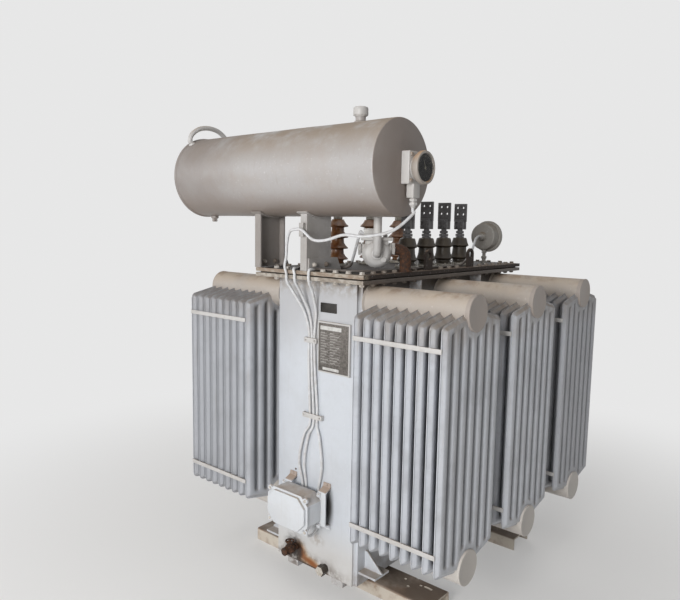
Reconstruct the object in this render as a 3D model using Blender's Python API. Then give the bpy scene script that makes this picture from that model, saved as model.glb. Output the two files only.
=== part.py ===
"""Oil-filled power transformer: a tank on two cross channels, six fluted radiators, a conservator
on two channel supports, bushings, relay, thermometer, level gauge and the cabling of its end wall.
Metres, +Z up. X runs across the tank and Y along it; the end wall with the junction box faces -Y."""

import math

import bmesh
import bpy
from mathutils import Vector

# Clearance between touching pieces
GAP = 0.0003

# Facets round a turned piece
HEXAGON = 6
SMALL_SIDES = 12
MIDDLE_SIDES = 16
LARGE_SIDES = 24

# Tank, rim and cover
TANK_WIDTH = 0.59
TANK_LENGTH = 1.51
TANK_HEIGHT = 1.595
TANK_CORNER = 0.02
RIM_OVERHANG = 0.083
RIM_THICK = 0.02
GASKET_THICK = 0.006
COVER_THICK = 0.02
STIFFENER = (0.075, 0.01, 0.07)
LUG_WIDTH = 0.07
LUG_HEIGHT = 0.11
LUG_THICK = 0.014
LUG_HOLE = 0.02
LUG_FROM_EDGE = 0.035
LUG_FROM_END = 0.61
LUG_HEAD_STEPS = 8

# Base
CHANNEL_WIDTH = 0.2
CHANNEL_HEIGHT = 0.075
CHANNEL_WALL = 0.01
CHANNEL_REACH = 0.64
CHANNEL_FROM_MIDDLE = 0.485
SKID_HEIGHT = 0.04
SKID_WIDTH = 0.08
SKID_FROM_MIDDLE = 0.165
JACK_SHELF = (0.11, 0.12, 0.012)
JACK_HEIGHT = 0.08
JACK_GUSSET = 0.095
JACK_FROM_END = 0.03
LET_IN = 0.01

# Radiators
RADIATORS = 3
RADIATOR_SPACING = 0.65
PANELS = 9
PANEL_PITCH = 0.0597
PANEL_WIDTH = 0.52
PANEL_THICK = 0.034
PANEL_FROM_TANK = 0.089
PANEL_SHOULDER = 0.19
PANEL_SLOPE = 0.04
PANEL_SHORT = 0.037
SEAM_THICK = 0.003
SEAM_SLOPE = 0.022
FLUTES = 7
FLUTE_PITCH = 0.074
GROOVE_FLOOR = 0.014
GROOVE_MOUTH = 0.044
GROOVE_FROM_HEADER = 0.15
GROOVE_FROM_EDGE = 0.08
HEADER_RADIUS = 0.084
HEADER_LOW = 0.296
HEADER_BELOW_TOP = 0.099
HEADER_PROUD = 0.03
STRAP_HEIGHT = 0.022
STRAP_THICK = 0.005
STRAP_OVER = 0.004
LOW_STRAP_RISE = 0.14
HIGH_STRAP_DROP = 0.142

# Conservator and its supports
CONSERVATOR_RADIUS = 0.226
CONSERVATOR_SIDES = 32
CONSERVATOR_LENGTH = 1.45
CONSERVATOR_OFFSET = -0.205
CONSERVATOR_HEIGHT = 0.504
CONSERVATOR_FROM_END = 0.0125
RIM_LIP = 0.005
RIM_LIP_WIDTH = 0.014
SUPPORT_DEPTH = 0.185
SUPPORT_FLANGE = 0.045
SUPPORT_WALL = 0.009
SUPPORT_LEFT = -0.387
SUPPORT_RIGHT = 0.004
SADDLE_THICK = 0.008
SADDLE_WIDTH = 0.075
SADDLE_REACH = 0.105
SADDLE_STEPS = 8
SADDLE_CUT_SIDES = 80
FOOT_LENGTH = 0.26
FOOT_HEIGHT = 0.065
FOOT_THICK = 0.01
FILLER_RADIUS = 0.03
FILLER_CAP_RADIUS = 0.041
FILLER_HEIGHT = 0.072
FILLER_CAP_HEIGHT = 0.044
FILLER_FROM_RIGHT = 0.25
EYE_BAR = 0.0135
EYE_FROM_LEFT = 0.03
# The eye stands across the shell, each foot on the third flat down from the top
EYE_FLATS = 3
# The eye's arch from one foot to the top: share of the feet's swing, height off the shell
EYE_ARCH = ((1, 0), (1, 0.012), (1, 0.024), (0.82, 0.046), (0.5, 0.06), (0.25, 0.0645), (0, 0.066))
SUMP_RADIUS = 0.022
SUMP_HEIGHT = 0.034
SUMP_FROM_LEFT = 0.08

# Level gauge on the conservator's right end
GAUGE_ASIDE = 0.052
GAUGE_PLATE = (0.045, 0.13, 0.15)
GAUGE_NECK_RADIUS = 0.032
GAUGE_NECK = 0.005
GAUGE_DIAL_RADIUS = 0.075
GAUGE_DIAL_THICK = 0.036
GAUGE_BACK_RADIUS = 0.06
GAUGE_BEVEL = 0.011
GAUGE_STUB = (0.034, 0.04, 0.05)
GAUGE_STUB_DROP = 0.055
GAUGE_STUB_BACK = 0.04
GLAND_RADIUS = 0.016
GLAND_HEIGHT = 0.045

# Gas relay between conservator and cover
RELAY_X = 0.236
RELAY_FROM_END = 0.2
RELAY_TURN = math.radians(40.0)
RELAY_LIFT = 0.096
RELAY_RADIUS = 0.076
RELAY_DEPTH = 0.1
RELAY_RIM_DEPTH = 0.06
RELAY_BEVEL = 0.019
RELAY_LID = (0.16, 0.12, 0.016)
RELAY_LID_SINK = 0.0114
RELAY_UNION_RADIUS = 0.034
RELAY_UNION_LENGTH = 0.034
RELAY_UNION_REACH = 0.095
RELAY_PIPE_RADIUS = 0.021
RELAY_BOX = (0.055, 0.05, 0.05)
RELAY_BOX_ASIDE = -0.04
RELAY_BOX_LIFT = 0.1
FEED_AHEAD = 0.085
FEED_BEND = 0.05
FEED_EASE = 0.006
FEED_STUB = 0.018
OUTLET_RADIUS = 0.03
OUTLET_LENGTH = 0.055
OUTLET_STUB = 0.012
OUTLET_DROP = 0.04
OUTLET_FOOT = 0.02

# Bushings
LV_BUSHINGS = 4
LV_PITCH = 0.19
LV_X = 0.2
LV_MIDDLE_FROM_END = 0.815
LV_RADIUS = 0.042
LV_SHED_RADIUS = 0.056
LV_SHED_COUNT = 2
LV_HEIGHT = 0.17
LV_STUD_RADIUS = 0.016
LV_STUD_HEIGHT = 0.05
LV_CLAMP = (0.06, 0.05, 0.06)
LV_PALM = (0.085, 0.012, 0.11)
HV_BUSHINGS = 3
HV_PITCH = 0.3
HV_X = -0.17
HV_FROM_END = 0.36
HV_RADIUS = 0.036
HV_SHED_RADIUS = 0.062
HV_SHED_COUNT = 4
HV_HEIGHT = 0.27
HV_CAP_RADIUS = 0.026
HV_CAP_HEIGHT = 0.05
HV_STUD_RADIUS = 0.008
HV_STUD_HEIGHT = 0.045
FLANGE_HEIGHT = 0.016
FLANGE_RADIUS = 0.068
# Where a shed starts, is widest and ends, as shares of its step
SHED_START = 0.2
SHED_LIP = 0.35
SHED_END = 0.9

# Dial thermometer
DIAL_X = 0.25
DIAL_FROM_END = 1.36
DIAL_LIFT = 0.177
DIAL_RIM_RADIUS = 0.1
DIAL_RIM_THICK = 0.022
DIAL_CASE_RADIUS = 0.084
DIAL_CASE_DEPTH = 0.06
DIAL_BOSS_RADIUS = 0.03
DIAL_BOSS_DEPTH = 0.022
POCKET_RADIUS = 0.017
POCKET_FOOT_RADIUS = 0.0255
POCKET_FOOT_HEIGHT = 0.02

# End wall: cables, clamps, junction box, plates, valve and plug
CABLE_RADIUS = 0.0075
CABLE_LIFT = 0.0015
CABLE_LANE = 0.02
CABLE_LANE_LOW = 0.026
CLIP = (0.03, 0.02, 0.07)
CLIP_LIFT = 0.21
CLAMP_HEIGHT = 0.026
CLAMP_THICK = 0.006
CLAMP_UPPER_X = -0.02
CLAMP_UPPER_WIDTH = 0.088
CLAMP_UPPER_DROP = 0.323
CLAMP_LOWER_X = -0.002
CLAMP_LOWER_WIDTH = 0.138
CLAMP_LOWER_DROP = 0.258
BOX_LEFT = -0.192
BOX_WIDTH = 0.286
BOX_LOW = 0.278
BOX_HEIGHT = 0.195
BOX_DEPTH = 0.1
BOX_STANDOFF = 0.045
BOX_CHAMFER = 0.043
LID_THICK = 0.026
LID_MARGIN = 0.005
BRACKET_THICK = 0.006
BRACKET_WIDTH = 0.05
BRACKET_FOOT = 0.022
BRACKET_SPACING = 0.25
BRACKET_FROM_RIGHT = -0.029
# The straps' knees stand above the box's top and bottom edges, and their ends on the wall farther out
BRACKET_KNEES = (0.014, 0.008)
BRACKET_ENDS = (0.006, 0.023)
PLATE_LEFT = 0.037
PLATE_WIDTH = 0.2
PLATE_DROP = 0.221
PLATE_HEIGHT = 0.252
PLATE_THICK = 0.003
FRAME_MARGIN = 0.008
FRAME_DEPTH = 0.014
LABEL_LEFT = 0.034
LABEL_WIDTH = 0.11
LABEL_HEIGHT = 0.05
LABEL_DROP = 0.117
VALVE_X = -0.13
VALVE_HEIGHT = 0.085
VALVE_REACH = 0.1
VALVE_NOSE = 0.025
VALVE_NOSE_RADIUS = 0.022
VALVE_NECK_RADIUS = 0.0154
VALVE_BODY_BACK = 0.035
VALVE_BODY_LENGTH = 0.035
VALVE_BODY_RADIUS = 0.0275
VALVE_SHOULDER = 0.005
VALVE_PIPE_RADIUS = 0.0165
VALVE_STEM_HEIGHT = 0.042
VALVE_STEM_RADIUS = 0.012
VALVE_HANDLE_THICK = 0.012
VALVE_HANDLE_RADIUS = 0.026
PLUG_X = 0.09
PLUG_HEIGHT = 0.036
PLUG_REACH = 0.05
PLUG_RADIUS = 0.028
PLUG_NECK = 0.0175
PLUG_NECK_RADIUS = 0.0224

# Worked-out places
FRONT = -TANK_LENGTH / 2
TANK_Z = CHANNEL_HEIGHT + SKID_HEIGHT + GAP
WALL_TOP = TANK_Z + TANK_HEIGHT
RIM_TOP = WALL_TOP + RIM_THICK
COVER_LOW = RIM_TOP + GASKET_THICK + 2 * GAP
COVER_TOP = COVER_LOW + COVER_THICK
COVER_X = TANK_WIDTH / 2 + RIM_OVERHANG
COVER_Y = TANK_LENGTH / 2 + RIM_OVERHANG
CONSERVATOR_Y = FRONT + CONSERVATOR_FROM_END
CONSERVATOR_Z = COVER_TOP + CONSERVATOR_HEIGHT
CONSERVATOR_LEFT = CONSERVATOR_OFFSET - CONSERVATOR_LENGTH / 2
CONSERVATOR_RIGHT = CONSERVATOR_OFFSET + CONSERVATOR_LENGTH / 2
CONSERVATOR_TOP = CONSERVATOR_Z + CONSERVATOR_RADIUS
# The shell's flats lie at its radius, so its facets' corners lie a little farther out
SHELL_CORNER = CONSERVATOR_RADIUS / math.cos(math.pi / CONSERVATOR_SIDES)
GAUGE_Y = CONSERVATOR_Y + GAUGE_ASIDE
GAUGE_NECK_X = CONSERVATOR_RIGHT + GAP + GAUGE_PLATE[0]
GAUGE_DIAL_X = GAUGE_NECK_X + GAUGE_NECK
RELAY_Y = FRONT + RELAY_FROM_END
RELAY_Z = COVER_TOP + RELAY_LIFT
BOX_TOP = TANK_Z + BOX_LOW + BOX_HEIGHT
CLAMP_UPPER_Z = WALL_TOP - CLAMP_UPPER_DROP
PLATE_LOW = WALL_TOP - PLATE_DROP - PLATE_HEIGHT
CLAMP_LOWER_Z = PLATE_LOW - CLAMP_LOWER_DROP


def material(name, colour, roughness, metallic=0.0):
    made = bpy.data.materials.new(name)
    made.use_nodes = True
    shader = made.node_tree.nodes["Principled BSDF"]
    shader.inputs["Base Color"].default_value = (*colour, 1.0)
    shader.inputs["Roughness"].default_value = roughness
    shader.inputs["Metallic"].default_value = metallic
    return made


def clear_scene():
    for old in list(bpy.data.objects):
        bpy.data.objects.remove(old, do_unlink=True)


def place(name, data, look, location=(0, 0, 0), turn=0.0, smooth=False):
    """One sub-part as an object under the root empty."""
    made = bpy.data.objects.new(name, data)
    bpy.context.scene.collection.objects.link(made)
    made.location = location
    made.rotation_euler = (0, 0, turn)
    made.parent = bpy.data.objects["transformer"]
    if look is not None:
        data.materials.append(look)
    if smooth:
        data.shade_smooth()
        data.set_sharp_from_angle(angle=math.radians(35))
    return made


def mesh_from(shape, name):
    """Closes a bmesh into mesh data with its faces pointing out."""
    bmesh.ops.recalc_face_normals(shape, faces=shape.faces)
    data = bpy.data.meshes.new(name)
    shape.to_mesh(data)
    shape.free()
    return data


def add_block(shape, low, high):
    """A rectangular block between two opposite corners."""
    size = Vector(high) - Vector(low)
    middle = (Vector(high) + Vector(low)) / 2
    corners = bmesh.ops.create_cube(shape, size=1.0)["verts"]
    for corner in corners:
        corner.co = Vector((corner.co.x * size.x, corner.co.y * size.y, corner.co.z * size.z)) + middle


def add_prism(shape, outline, axis, low, high):
    """An outline of (a, b) points drawn out along X, Y or Z; a and b are the other two axes in order."""
    def spot(point, along):
        ordered = list(point)
        ordered.insert(axis, along)
        return shape.verts.new(ordered)

    near = [spot(point, low) for point in outline]
    far = [spot(point, high) for point in outline]
    shape.faces.new(near)
    shape.faces.new(far[::-1])
    for i in range(len(outline)):
        j = (i + 1) % len(outline)
        shape.faces.new((near[i], near[j], far[j], far[i]))


def add_turned(shape, profile, axis, centre, sides):
    """A turned solid: profile is (distance along the axis, radius) from one end to the other."""
    rings = []
    for along, radius in profile:
        ring = []
        for k in range(sides):
            angle = 2 * math.pi * (k + 0.5) / sides
            ordered = [radius * math.cos(angle), radius * math.sin(angle)]
            ordered.insert(axis, along)
            ring.append(shape.verts.new(Vector(ordered) + Vector(centre)))
        rings.append(ring)
    for first, second in zip(rings, rings[1:]):
        for k in range(sides):
            after = (k + 1) % sides
            shape.faces.new((first[k], first[after], second[after], second[k]))
    shape.faces.new(rings[0])
    shape.faces.new(rings[-1][::-1])


def block(name, low, high, look):
    shape = bmesh.new()
    add_block(shape, low, high)
    return place(name, mesh_from(shape, name), look)


def turned(name, profile, axis, centre, look, sides=SMALL_SIDES):
    shape = bmesh.new()
    add_turned(shape, profile, axis, (0, 0, 0), sides)
    return place(name, mesh_from(shape, name), look, centre, smooth=True)


def guide(other):
    """Marks an object that only shapes another one."""
    other.hide_render = True
    other.display_type = "WIRE"
    return other


def combine(target, other, operation="UNION"):
    cut = target.modifiers.new(other.name, "BOOLEAN")
    cut.operation = operation
    cut.solver = "EXACT"
    cut.object = guide(other)
    return target


def smooth_route(points, steps):
    """Points along a smooth curve through the route's own points."""
    ends = [2 * points[0] - points[1], *points, 2 * points[-1] - points[-2]]
    route = []
    for a, b, c, d in zip(ends, ends[1:], ends[2:], ends[3:]):
        for k in range(steps):
            t = k / steps
            route.append(0.5 * (2 * b + (c - a) * t + (2 * a - 5 * b + 4 * c - d) * t ** 2
                                + (3 * b - a - 3 * c + d) * t ** 3))
    return [*route, points[-1]]


def stub(start, way, length=0.03):
    """Three points in line, so that a pipe or cable leaves its seat square."""
    start, way = Vector(start), Vector(way)
    return [start, start + way * length / 2, start + way * length]


def tube(name, points, radius, look, steps=2, resolution=2):
    """A round bar or cable along a smooth route."""
    curve = bpy.data.curves.new(name, "CURVE")
    curve.dimensions = "3D"
    curve.bevel_depth = radius
    curve.bevel_resolution = resolution
    curve.use_fill_caps = True
    route = smooth_route([Vector(point) for point in points], steps)
    line = curve.splines.new("POLY")
    line.points.add(len(route) - 1)
    for spot, point in zip(line.points, route):
        spot.co = (*point, 1.0)
    return place(name, curve, look)


def make_tank(look):
    """Welded tank with its rim flange, stiffeners, jacking brackets and two skids below."""
    shape = bmesh.new()
    half_x, half_y = TANK_WIDTH / 2, TANK_LENGTH / 2
    add_block(shape, (-half_x, -half_y, TANK_Z), (half_x, half_y, WALL_TOP + RIM_THICK / 2))
    upright = [e for e in shape.edges if abs(e.verts[0].co.z - e.verts[1].co.z) > TANK_HEIGHT / 2]
    bmesh.ops.bevel(shape, geom=upright, offset=TANK_CORNER, segments=3, affect="EDGES")
    tank = place("tank", mesh_from(shape, "tank"), look)
    rim = block("rim", (-COVER_X, -COVER_Y, WALL_TOP), (COVER_X, COVER_Y, RIM_TOP), None)
    combine(tank, rim)
    shelves, webs, skids = bmesh.new(), bmesh.new(), bmesh.new()
    for side in (-1, 1):
        x = side * SKID_FROM_MIDDLE
        add_block(skids, (x - SKID_WIDTH / 2, -half_y + LET_IN, TANK_Z - SKID_HEIGHT),
                  (x + SKID_WIDTH / 2, half_y - LET_IN, TANK_Z + LET_IN))
        for y in (-RADIATOR_SPACING / 2, RADIATOR_SPACING / 2):
            add_stiffener(webs, side, y)
        for end in (-1, 1):
            add_jack_bracket(shelves, webs, side, end)
    combine(tank, place("tank_shelves", mesh_from(shelves, "tank_shelves"), None))
    combine(tank, place("tank_webs", mesh_from(webs, "tank_webs"), None))
    combine(tank, place("tank_skids", mesh_from(skids, "tank_skids"), None))
    return tank


def add_stiffener(webs, side, y):
    """A small web plate under the rim, let a little into wall and rim so that it joins them."""
    wide, thick, high = STIFFENER
    x_ends = sorted((side * (TANK_WIDTH / 2 - LET_IN), side * (TANK_WIDTH / 2 + wide)))
    top = WALL_TOP + RIM_THICK / 4
    add_block(webs, (x_ends[0], y - thick / 2, WALL_TOP - high), (x_ends[1], y + thick / 2, top))


def add_jack_bracket(shelves, webs, side, end):
    """A shelf under a triangular gusset, both let a little into the tank wall."""
    reach, wide, thick = JACK_SHELF
    wall = TANK_WIDTH / 2
    shelf = TANK_Z + JACK_HEIGHT
    outer = end * (TANK_LENGTH / 2 - JACK_FROM_END)
    y_ends = sorted((outer, outer - end * wide))
    x_ends = sorted((side * (wall - LET_IN), side * (wall + reach)))
    add_block(shelves, (x_ends[0], y_ends[0], shelf - thick), (x_ends[1], y_ends[1], shelf))
    foot = shelf - thick / 2
    outline = [(side * (wall - LET_IN), foot), (side * (wall + reach), foot),
               (side * (wall + reach), shelf + thick / 2), (side * (wall + thick), shelf + JACK_GUSSET),
               (side * (wall - LET_IN), shelf + JACK_GUSSET)]
    middle = sum(y_ends) / 2
    add_prism(webs, outline, 1, middle - thick / 2, middle + thick / 2)


def make_lugs(look):
    """Lifting lugs on the cover: upright plates with a rounded head and a hole."""
    half = LUG_WIDTH / 2
    head = LUG_HEIGHT - half
    outline = [(-half, 0), (half, 0)]
    for k in range(LUG_HEAD_STEPS + 1):
        angle = math.pi * k / LUG_HEAD_STEPS
        outline.append((half * math.cos(angle), head + half * math.sin(angle)))
    spots = [(side, end) for side in (-1, 1) for end in (-1, 1)]
    for number, (side, end) in enumerate(spots, 1):
        name = f"lifting_lug_{number}"
        shape = bmesh.new()
        add_prism(shape, outline, 0, -LUG_THICK / 2, LUG_THICK / 2)
        spot = (side * (COVER_X - LUG_FROM_EDGE), end * (COVER_Y - LUG_FROM_END), COVER_TOP + GAP)
        lug = place(name, mesh_from(shape, name), look, spot)
        shape = bmesh.new()
        add_turned(shape, [(-LUG_THICK, LUG_HOLE), (LUG_THICK, LUG_HOLE)], 0, (0, 0, head), MIDDLE_SIDES)
        combine(lug, place(name + "_hole", mesh_from(shape, name), None, spot), "DIFFERENCE")


def make_base(look):
    """Two cross channels lying web up under the tank's skids."""
    half, wall, top = CHANNEL_WIDTH / 2, CHANNEL_WALL, CHANNEL_HEIGHT
    for name, end in (("base_channel_front", -1), ("base_channel_back", 1)):
        y = end * CHANNEL_FROM_MIDDLE
        outline = [(y - half, 0), (y - half + wall, 0), (y - half + wall, top - wall),
                   (y + half - wall, top - wall), (y + half - wall, 0), (y + half, 0),
                   (y + half, top), (y - half, top)]
        shape = bmesh.new()
        add_prism(shape, outline, 0, -CHANNEL_REACH, CHANNEL_REACH)
        place(name, mesh_from(shape, name), look)


def panel_outline(low, high, inset=0.0):
    """The panel's edge, or with an inset the line on its face where the slope in from the edge ends."""
    half = PANEL_WIDTH / 2
    outline = []
    for level, way in ((low, -1), (high, 1)):
        corner = level - way * (PANEL_SHORT + inset)
        shoulder = half - PANEL_SHOULDER
        run = [(inset - half, corner), (-shoulder, corner + way * PANEL_SLOPE),
               (shoulder, corner + way * PANEL_SLOPE), (half - inset, corner)]
        outline += run if way < 0 else run[::-1]
    return outline


def add_panel(shape, x, edge, face):
    """A panel of two pressed sheets: thin at its welded edge, and full a slope's width in from it."""
    rings = []
    for outline, depth in ((face, -PANEL_THICK / 2), (edge, -SEAM_THICK / 2),
                           (edge, SEAM_THICK / 2), (face, PANEL_THICK / 2)):
        rings.append([shape.verts.new((x + depth, y, z)) for y, z in outline])
    for first, second in zip(rings, rings[1:]):
        for k in range(len(edge)):
            after = (k + 1) % len(edge)
            shape.faces.new((first[k], first[after], second[after], second[k]))
    shape.faces.new(rings[0])
    shape.faces.new(rings[-1][::-1])


def add_grooves(shape, x, low, high):
    """Cutters for the grooves between the flutes, on the outer face of the panel at x."""
    floor, mouth = x + SEAM_THICK / 2, x + PANEL_THICK / 2 + LET_IN
    # The cutter goes on past the face at the groove's own slope
    slope = (GROOVE_MOUTH - GROOVE_FLOOR) / (PANEL_THICK - SEAM_THICK)
    half_mouth = GROOVE_FLOOR / 2 + slope * (mouth - floor)
    for k in range(FLUTES - 1):
        y = (k - (FLUTES - 2) / 2) * FLUTE_PITCH
        outline = [(floor, y - GROOVE_FLOOR / 2), (floor, y + GROOVE_FLOOR / 2),
                   (mouth, y + half_mouth), (mouth, y - half_mouth)]
        clear = math.sqrt(max(GROOVE_FROM_HEADER ** 2 - y ** 2, 0.0))
        rise = PANEL_SLOPE * min((PANEL_WIDTH / 2 - abs(y)) / PANEL_SHOULDER, 1.0)
        start = max(clear, PANEL_SHORT - rise + GROOVE_FROM_EDGE)
        add_prism(shape, outline, 2, low + start, high - start)


def make_radiator(name, side, y, look):
    """One radiator: fluted panels on two header pipes, tied by flat straps. Only the outermost
    face, which is the one that shows, has its grooves cut."""
    half = PANEL_WIDTH / 2
    low = TANK_Z + HEADER_LOW
    high = WALL_TOP - HEADER_BELOW_TOP
    first = TANK_WIDTH / 2 + PANEL_FROM_TANK
    last = first + (PANELS - 1) * PANEL_PITCH
    shape = bmesh.new()
    edge, face = panel_outline(low, high), panel_outline(low, high, SEAM_SLOPE)
    for k in range(PANELS):
        add_panel(shape, first + k * PANEL_PITCH, edge, face)
    turn = 0.0 if side > 0 else math.pi
    radiator = place(name, mesh_from(shape, name), look, (0, y, 0), turn)
    shape = bmesh.new()
    add_grooves(shape, last, low, high)
    combine(radiator, place(name + "_grooves", mesh_from(shape, name), None, (0, y, 0), turn), "DIFFERENCE")
    shape = bmesh.new()
    for level in (low, high):
        ends = [(TANK_WIDTH / 2 + GAP, HEADER_RADIUS), (last + HEADER_PROUD, HEADER_RADIUS)]
        add_turned(shape, ends, 0, (0, 0, level), SMALL_SIDES)
    combine(radiator, place(name + "_headers", mesh_from(shape, name), None, (0, y, 0), turn))
    shape = bmesh.new()
    for z in (low + LOW_STRAP_RISE, high - HIGH_STRAP_DROP):
        for edge in (-half, half):
            add_block(shape, (first - STRAP_OVER, edge - STRAP_THICK, z - STRAP_HEIGHT / 2),
                      (last + STRAP_OVER, edge + STRAP_THICK, z + STRAP_HEIGHT / 2))
    combine(radiator, place(name + "_straps", mesh_from(shape, name), None, (0, y, 0), turn))
    return radiator


def make_conservator(look):
    """The conservator shell with its filler neck, sump and lifting eye."""
    radius, half = SHELL_CORNER, CONSERVATOR_LENGTH / 2
    lip = radius + RIM_LIP
    profile = [(-half, radius - RIM_LIP), (-half, lip), (-half + RIM_LIP_WIDTH, lip),
               (-half + RIM_LIP_WIDTH, radius), (half - RIM_LIP, radius), (half, radius - RIM_LIP)]
    centre = (CONSERVATOR_OFFSET, CONSERVATOR_Y, CONSERVATOR_Z)
    shell = turned("conservator", profile, 0, centre, look, CONSERVATOR_SIDES)
    neck = FILLER_HEIGHT - FILLER_CAP_HEIGHT
    profile = [(-LET_IN, FILLER_RADIUS), (neck, FILLER_RADIUS), (neck, FILLER_CAP_RADIUS),
               (FILLER_HEIGHT, FILLER_CAP_RADIUS)]
    filler_x = CONSERVATOR_RIGHT - FILLER_FROM_RIGHT
    foot = (filler_x, CONSERVATOR_Y, CONSERVATOR_TOP)
    combine(shell, turned("filler", profile, 2, foot, None, MIDDLE_SIDES))
    sump_x = CONSERVATOR_LEFT + SUMP_FROM_LEFT
    bottom = CONSERVATOR_Z - CONSERVATOR_RADIUS
    profile = [(-SUMP_HEIGHT, SUMP_RADIUS), (LET_IN, SUMP_RADIUS)]
    combine(shell, turned("sump", profile, 2, (sump_x, CONSERVATOR_Y, bottom), None))
    swing = 2 * math.pi * EYE_FLATS / CONSERVATOR_SIDES
    arch = []
    for share, off in [*EYE_ARCH, *((-share, off) for share, off in EYE_ARCH[-2::-1])]:
        reach = CONSERVATOR_RADIUS + GAP + off
        arch.append((CONSERVATOR_LEFT + EYE_FROM_LEFT, CONSERVATOR_Y - reach * math.sin(share * swing),
                     CONSERVATOR_Z + reach * math.cos(share * swing)))
    tube("conservator_eye", arch, EYE_BAR, look)


def make_support(name, web_x, opens, look):
    """A channel set on end under the conservator, with its saddle and its bolted foot plate."""
    half, wall = SUPPORT_DEPTH / 2, SUPPORT_WALL
    tip, inner = opens * SUPPORT_FLANGE, opens * wall
    outline = [(0, -half), (tip, -half), (tip, -half + wall), (inner, -half + wall),
               (inner, half - wall), (tip, half - wall), (tip, half), (0, half)]
    bottom = COVER_TOP + GAP
    middle = (web_x, CONSERVATOR_Y, bottom)
    centre_up = CONSERVATOR_Z - bottom
    shape = bmesh.new()
    add_prism(shape, outline, 2, 0, centre_up)
    support = place(name, mesh_from(shape, name), look, middle)
    seat = CONSERVATOR_RADIUS + GAP
    shape = bmesh.new()
    cut = seat + SADDLE_THICK / 2
    add_turned(shape, [(-SADDLE_WIDTH, cut), (SADDLE_WIDTH, cut)], 0, (0, 0, centre_up), SADDLE_CUT_SIDES)
    combine(support, place(name + "_cut", mesh_from(shape, name), None, middle), "DIFFERENCE")
    swing = math.asin(SADDLE_REACH / seat)
    arcs = []
    # The inner arc's own flats keep clear of the shell's corners
    inner_reach = (SHELL_CORNER + GAP) / math.cos(swing / SADDLE_STEPS)
    for reach, way in ((inner_reach, 1), (seat + SADDLE_THICK, -1)):
        for k in range(SADDLE_STEPS + 1):
            angle = way * swing * (2 * k / SADDLE_STEPS - 1)
            arcs.append((reach * math.sin(angle), centre_up - reach * math.cos(angle)))
    shape = bmesh.new()
    shift = tip / 2
    add_prism(shape, arcs, 0, shift - SADDLE_WIDTH / 2, shift + SADDLE_WIDTH / 2)
    combine(support, place(name + "_saddle", mesh_from(shape, name), None, middle))
    shape = bmesh.new()
    back = -half + FOOT_LENGTH
    foot = [(-half + wall, 0), (back, 0), (back - FOOT_HEIGHT / 2, FOOT_HEIGHT), (-half + wall, FOOT_HEIGHT)]
    outer, lap = -opens * FOOT_THICK, opens * wall / 2
    add_prism(shape, foot, 0, min(outer, lap), max(outer, lap))
    combine(support, place(name + "_foot", mesh_from(shape, name), None, middle))
    return support


def add_clip(support):
    """The cable clip on the front flange of the support."""
    wide, deep, high = CLIP
    y = CONSERVATOR_Y - SUPPORT_DEPTH / 2
    x = SUPPORT_RIGHT - SUPPORT_FLANGE / 2
    z = COVER_TOP + CLIP_LIFT
    combine(support, block("cable_clip", (x - wide / 2, y - deep, z - high / 2),
                           (x + wide / 2, y + SUPPORT_WALL / 2, z + high / 2), None))


def make_gauge(painted, dark):
    """Oil-level gauge: a square flange, a neck and a round dial, with its cable gland below."""
    wide, deep, high = GAUGE_PLATE
    x = CONSERVATOR_RIGHT + GAP
    plate = block("level_gauge", (x, GAUGE_Y - deep / 2, CONSERVATOR_Z - high / 2),
                  (x + wide, GAUGE_Y + deep / 2, CONSERVATOR_Z + high / 2), painted)
    shape = bmesh.new()
    ends = [(x + wide / 2, GAUGE_NECK_RADIUS), (GAUGE_DIAL_X - GAP, GAUGE_NECK_RADIUS)]
    add_turned(shape, ends, 0, (0, GAUGE_Y, CONSERVATOR_Z), MIDDLE_SIDES)
    combine(plate, place("level_gauge_neck", mesh_from(shape, "level_gauge_neck"), None))
    stub_wide, stub_deep, stub_high = GAUGE_STUB
    stub_x = GAUGE_DIAL_X - GAUGE_STUB_BACK
    drop = CONSERVATOR_Z - GAUGE_STUB_DROP
    stub = block("level_gauge_stub", (stub_x, GAUGE_Y - stub_deep / 2, drop - stub_high - GAUGE_NECK_RADIUS),
                 (stub_x + stub_wide, GAUGE_Y + stub_deep / 2, CONSERVATOR_Z - GAUGE_NECK_RADIUS / 2), None)
    combine(plate, stub)
    thick, radius = GAUGE_DIAL_THICK, GAUGE_DIAL_RADIUS
    turned("gauge_dial", [(0, GAUGE_BACK_RADIUS), (GAUGE_BEVEL, radius), (thick, radius)],
           0, (GAUGE_DIAL_X, GAUGE_Y, CONSERVATOR_Z), dark, LARGE_SIDES)
    gland_x = stub_x + stub_wide / 2
    gland_z = drop - stub_high - GAUGE_NECK_RADIUS
    profile = [(-GLAND_HEIGHT, GLAND_RADIUS), (stub_high / 2, GLAND_RADIUS)]
    combine(plate, turned("gauge_gland", profile, 2, (gland_x, GAUGE_Y, gland_z), None))
    return Vector((gland_x, GAUGE_Y, gland_z - GLAND_HEIGHT - GAP))


def relay_spot(aside, ahead, up=0.0):
    """A point beside, in front of or above the relay's centre; aside and ahead turn with the relay."""
    cos, sin = math.cos(RELAY_TURN), math.sin(RELAY_TURN)
    return Vector((RELAY_X + aside * cos + ahead * sin, RELAY_Y + aside * sin - ahead * cos, RELAY_Z + up))


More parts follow.
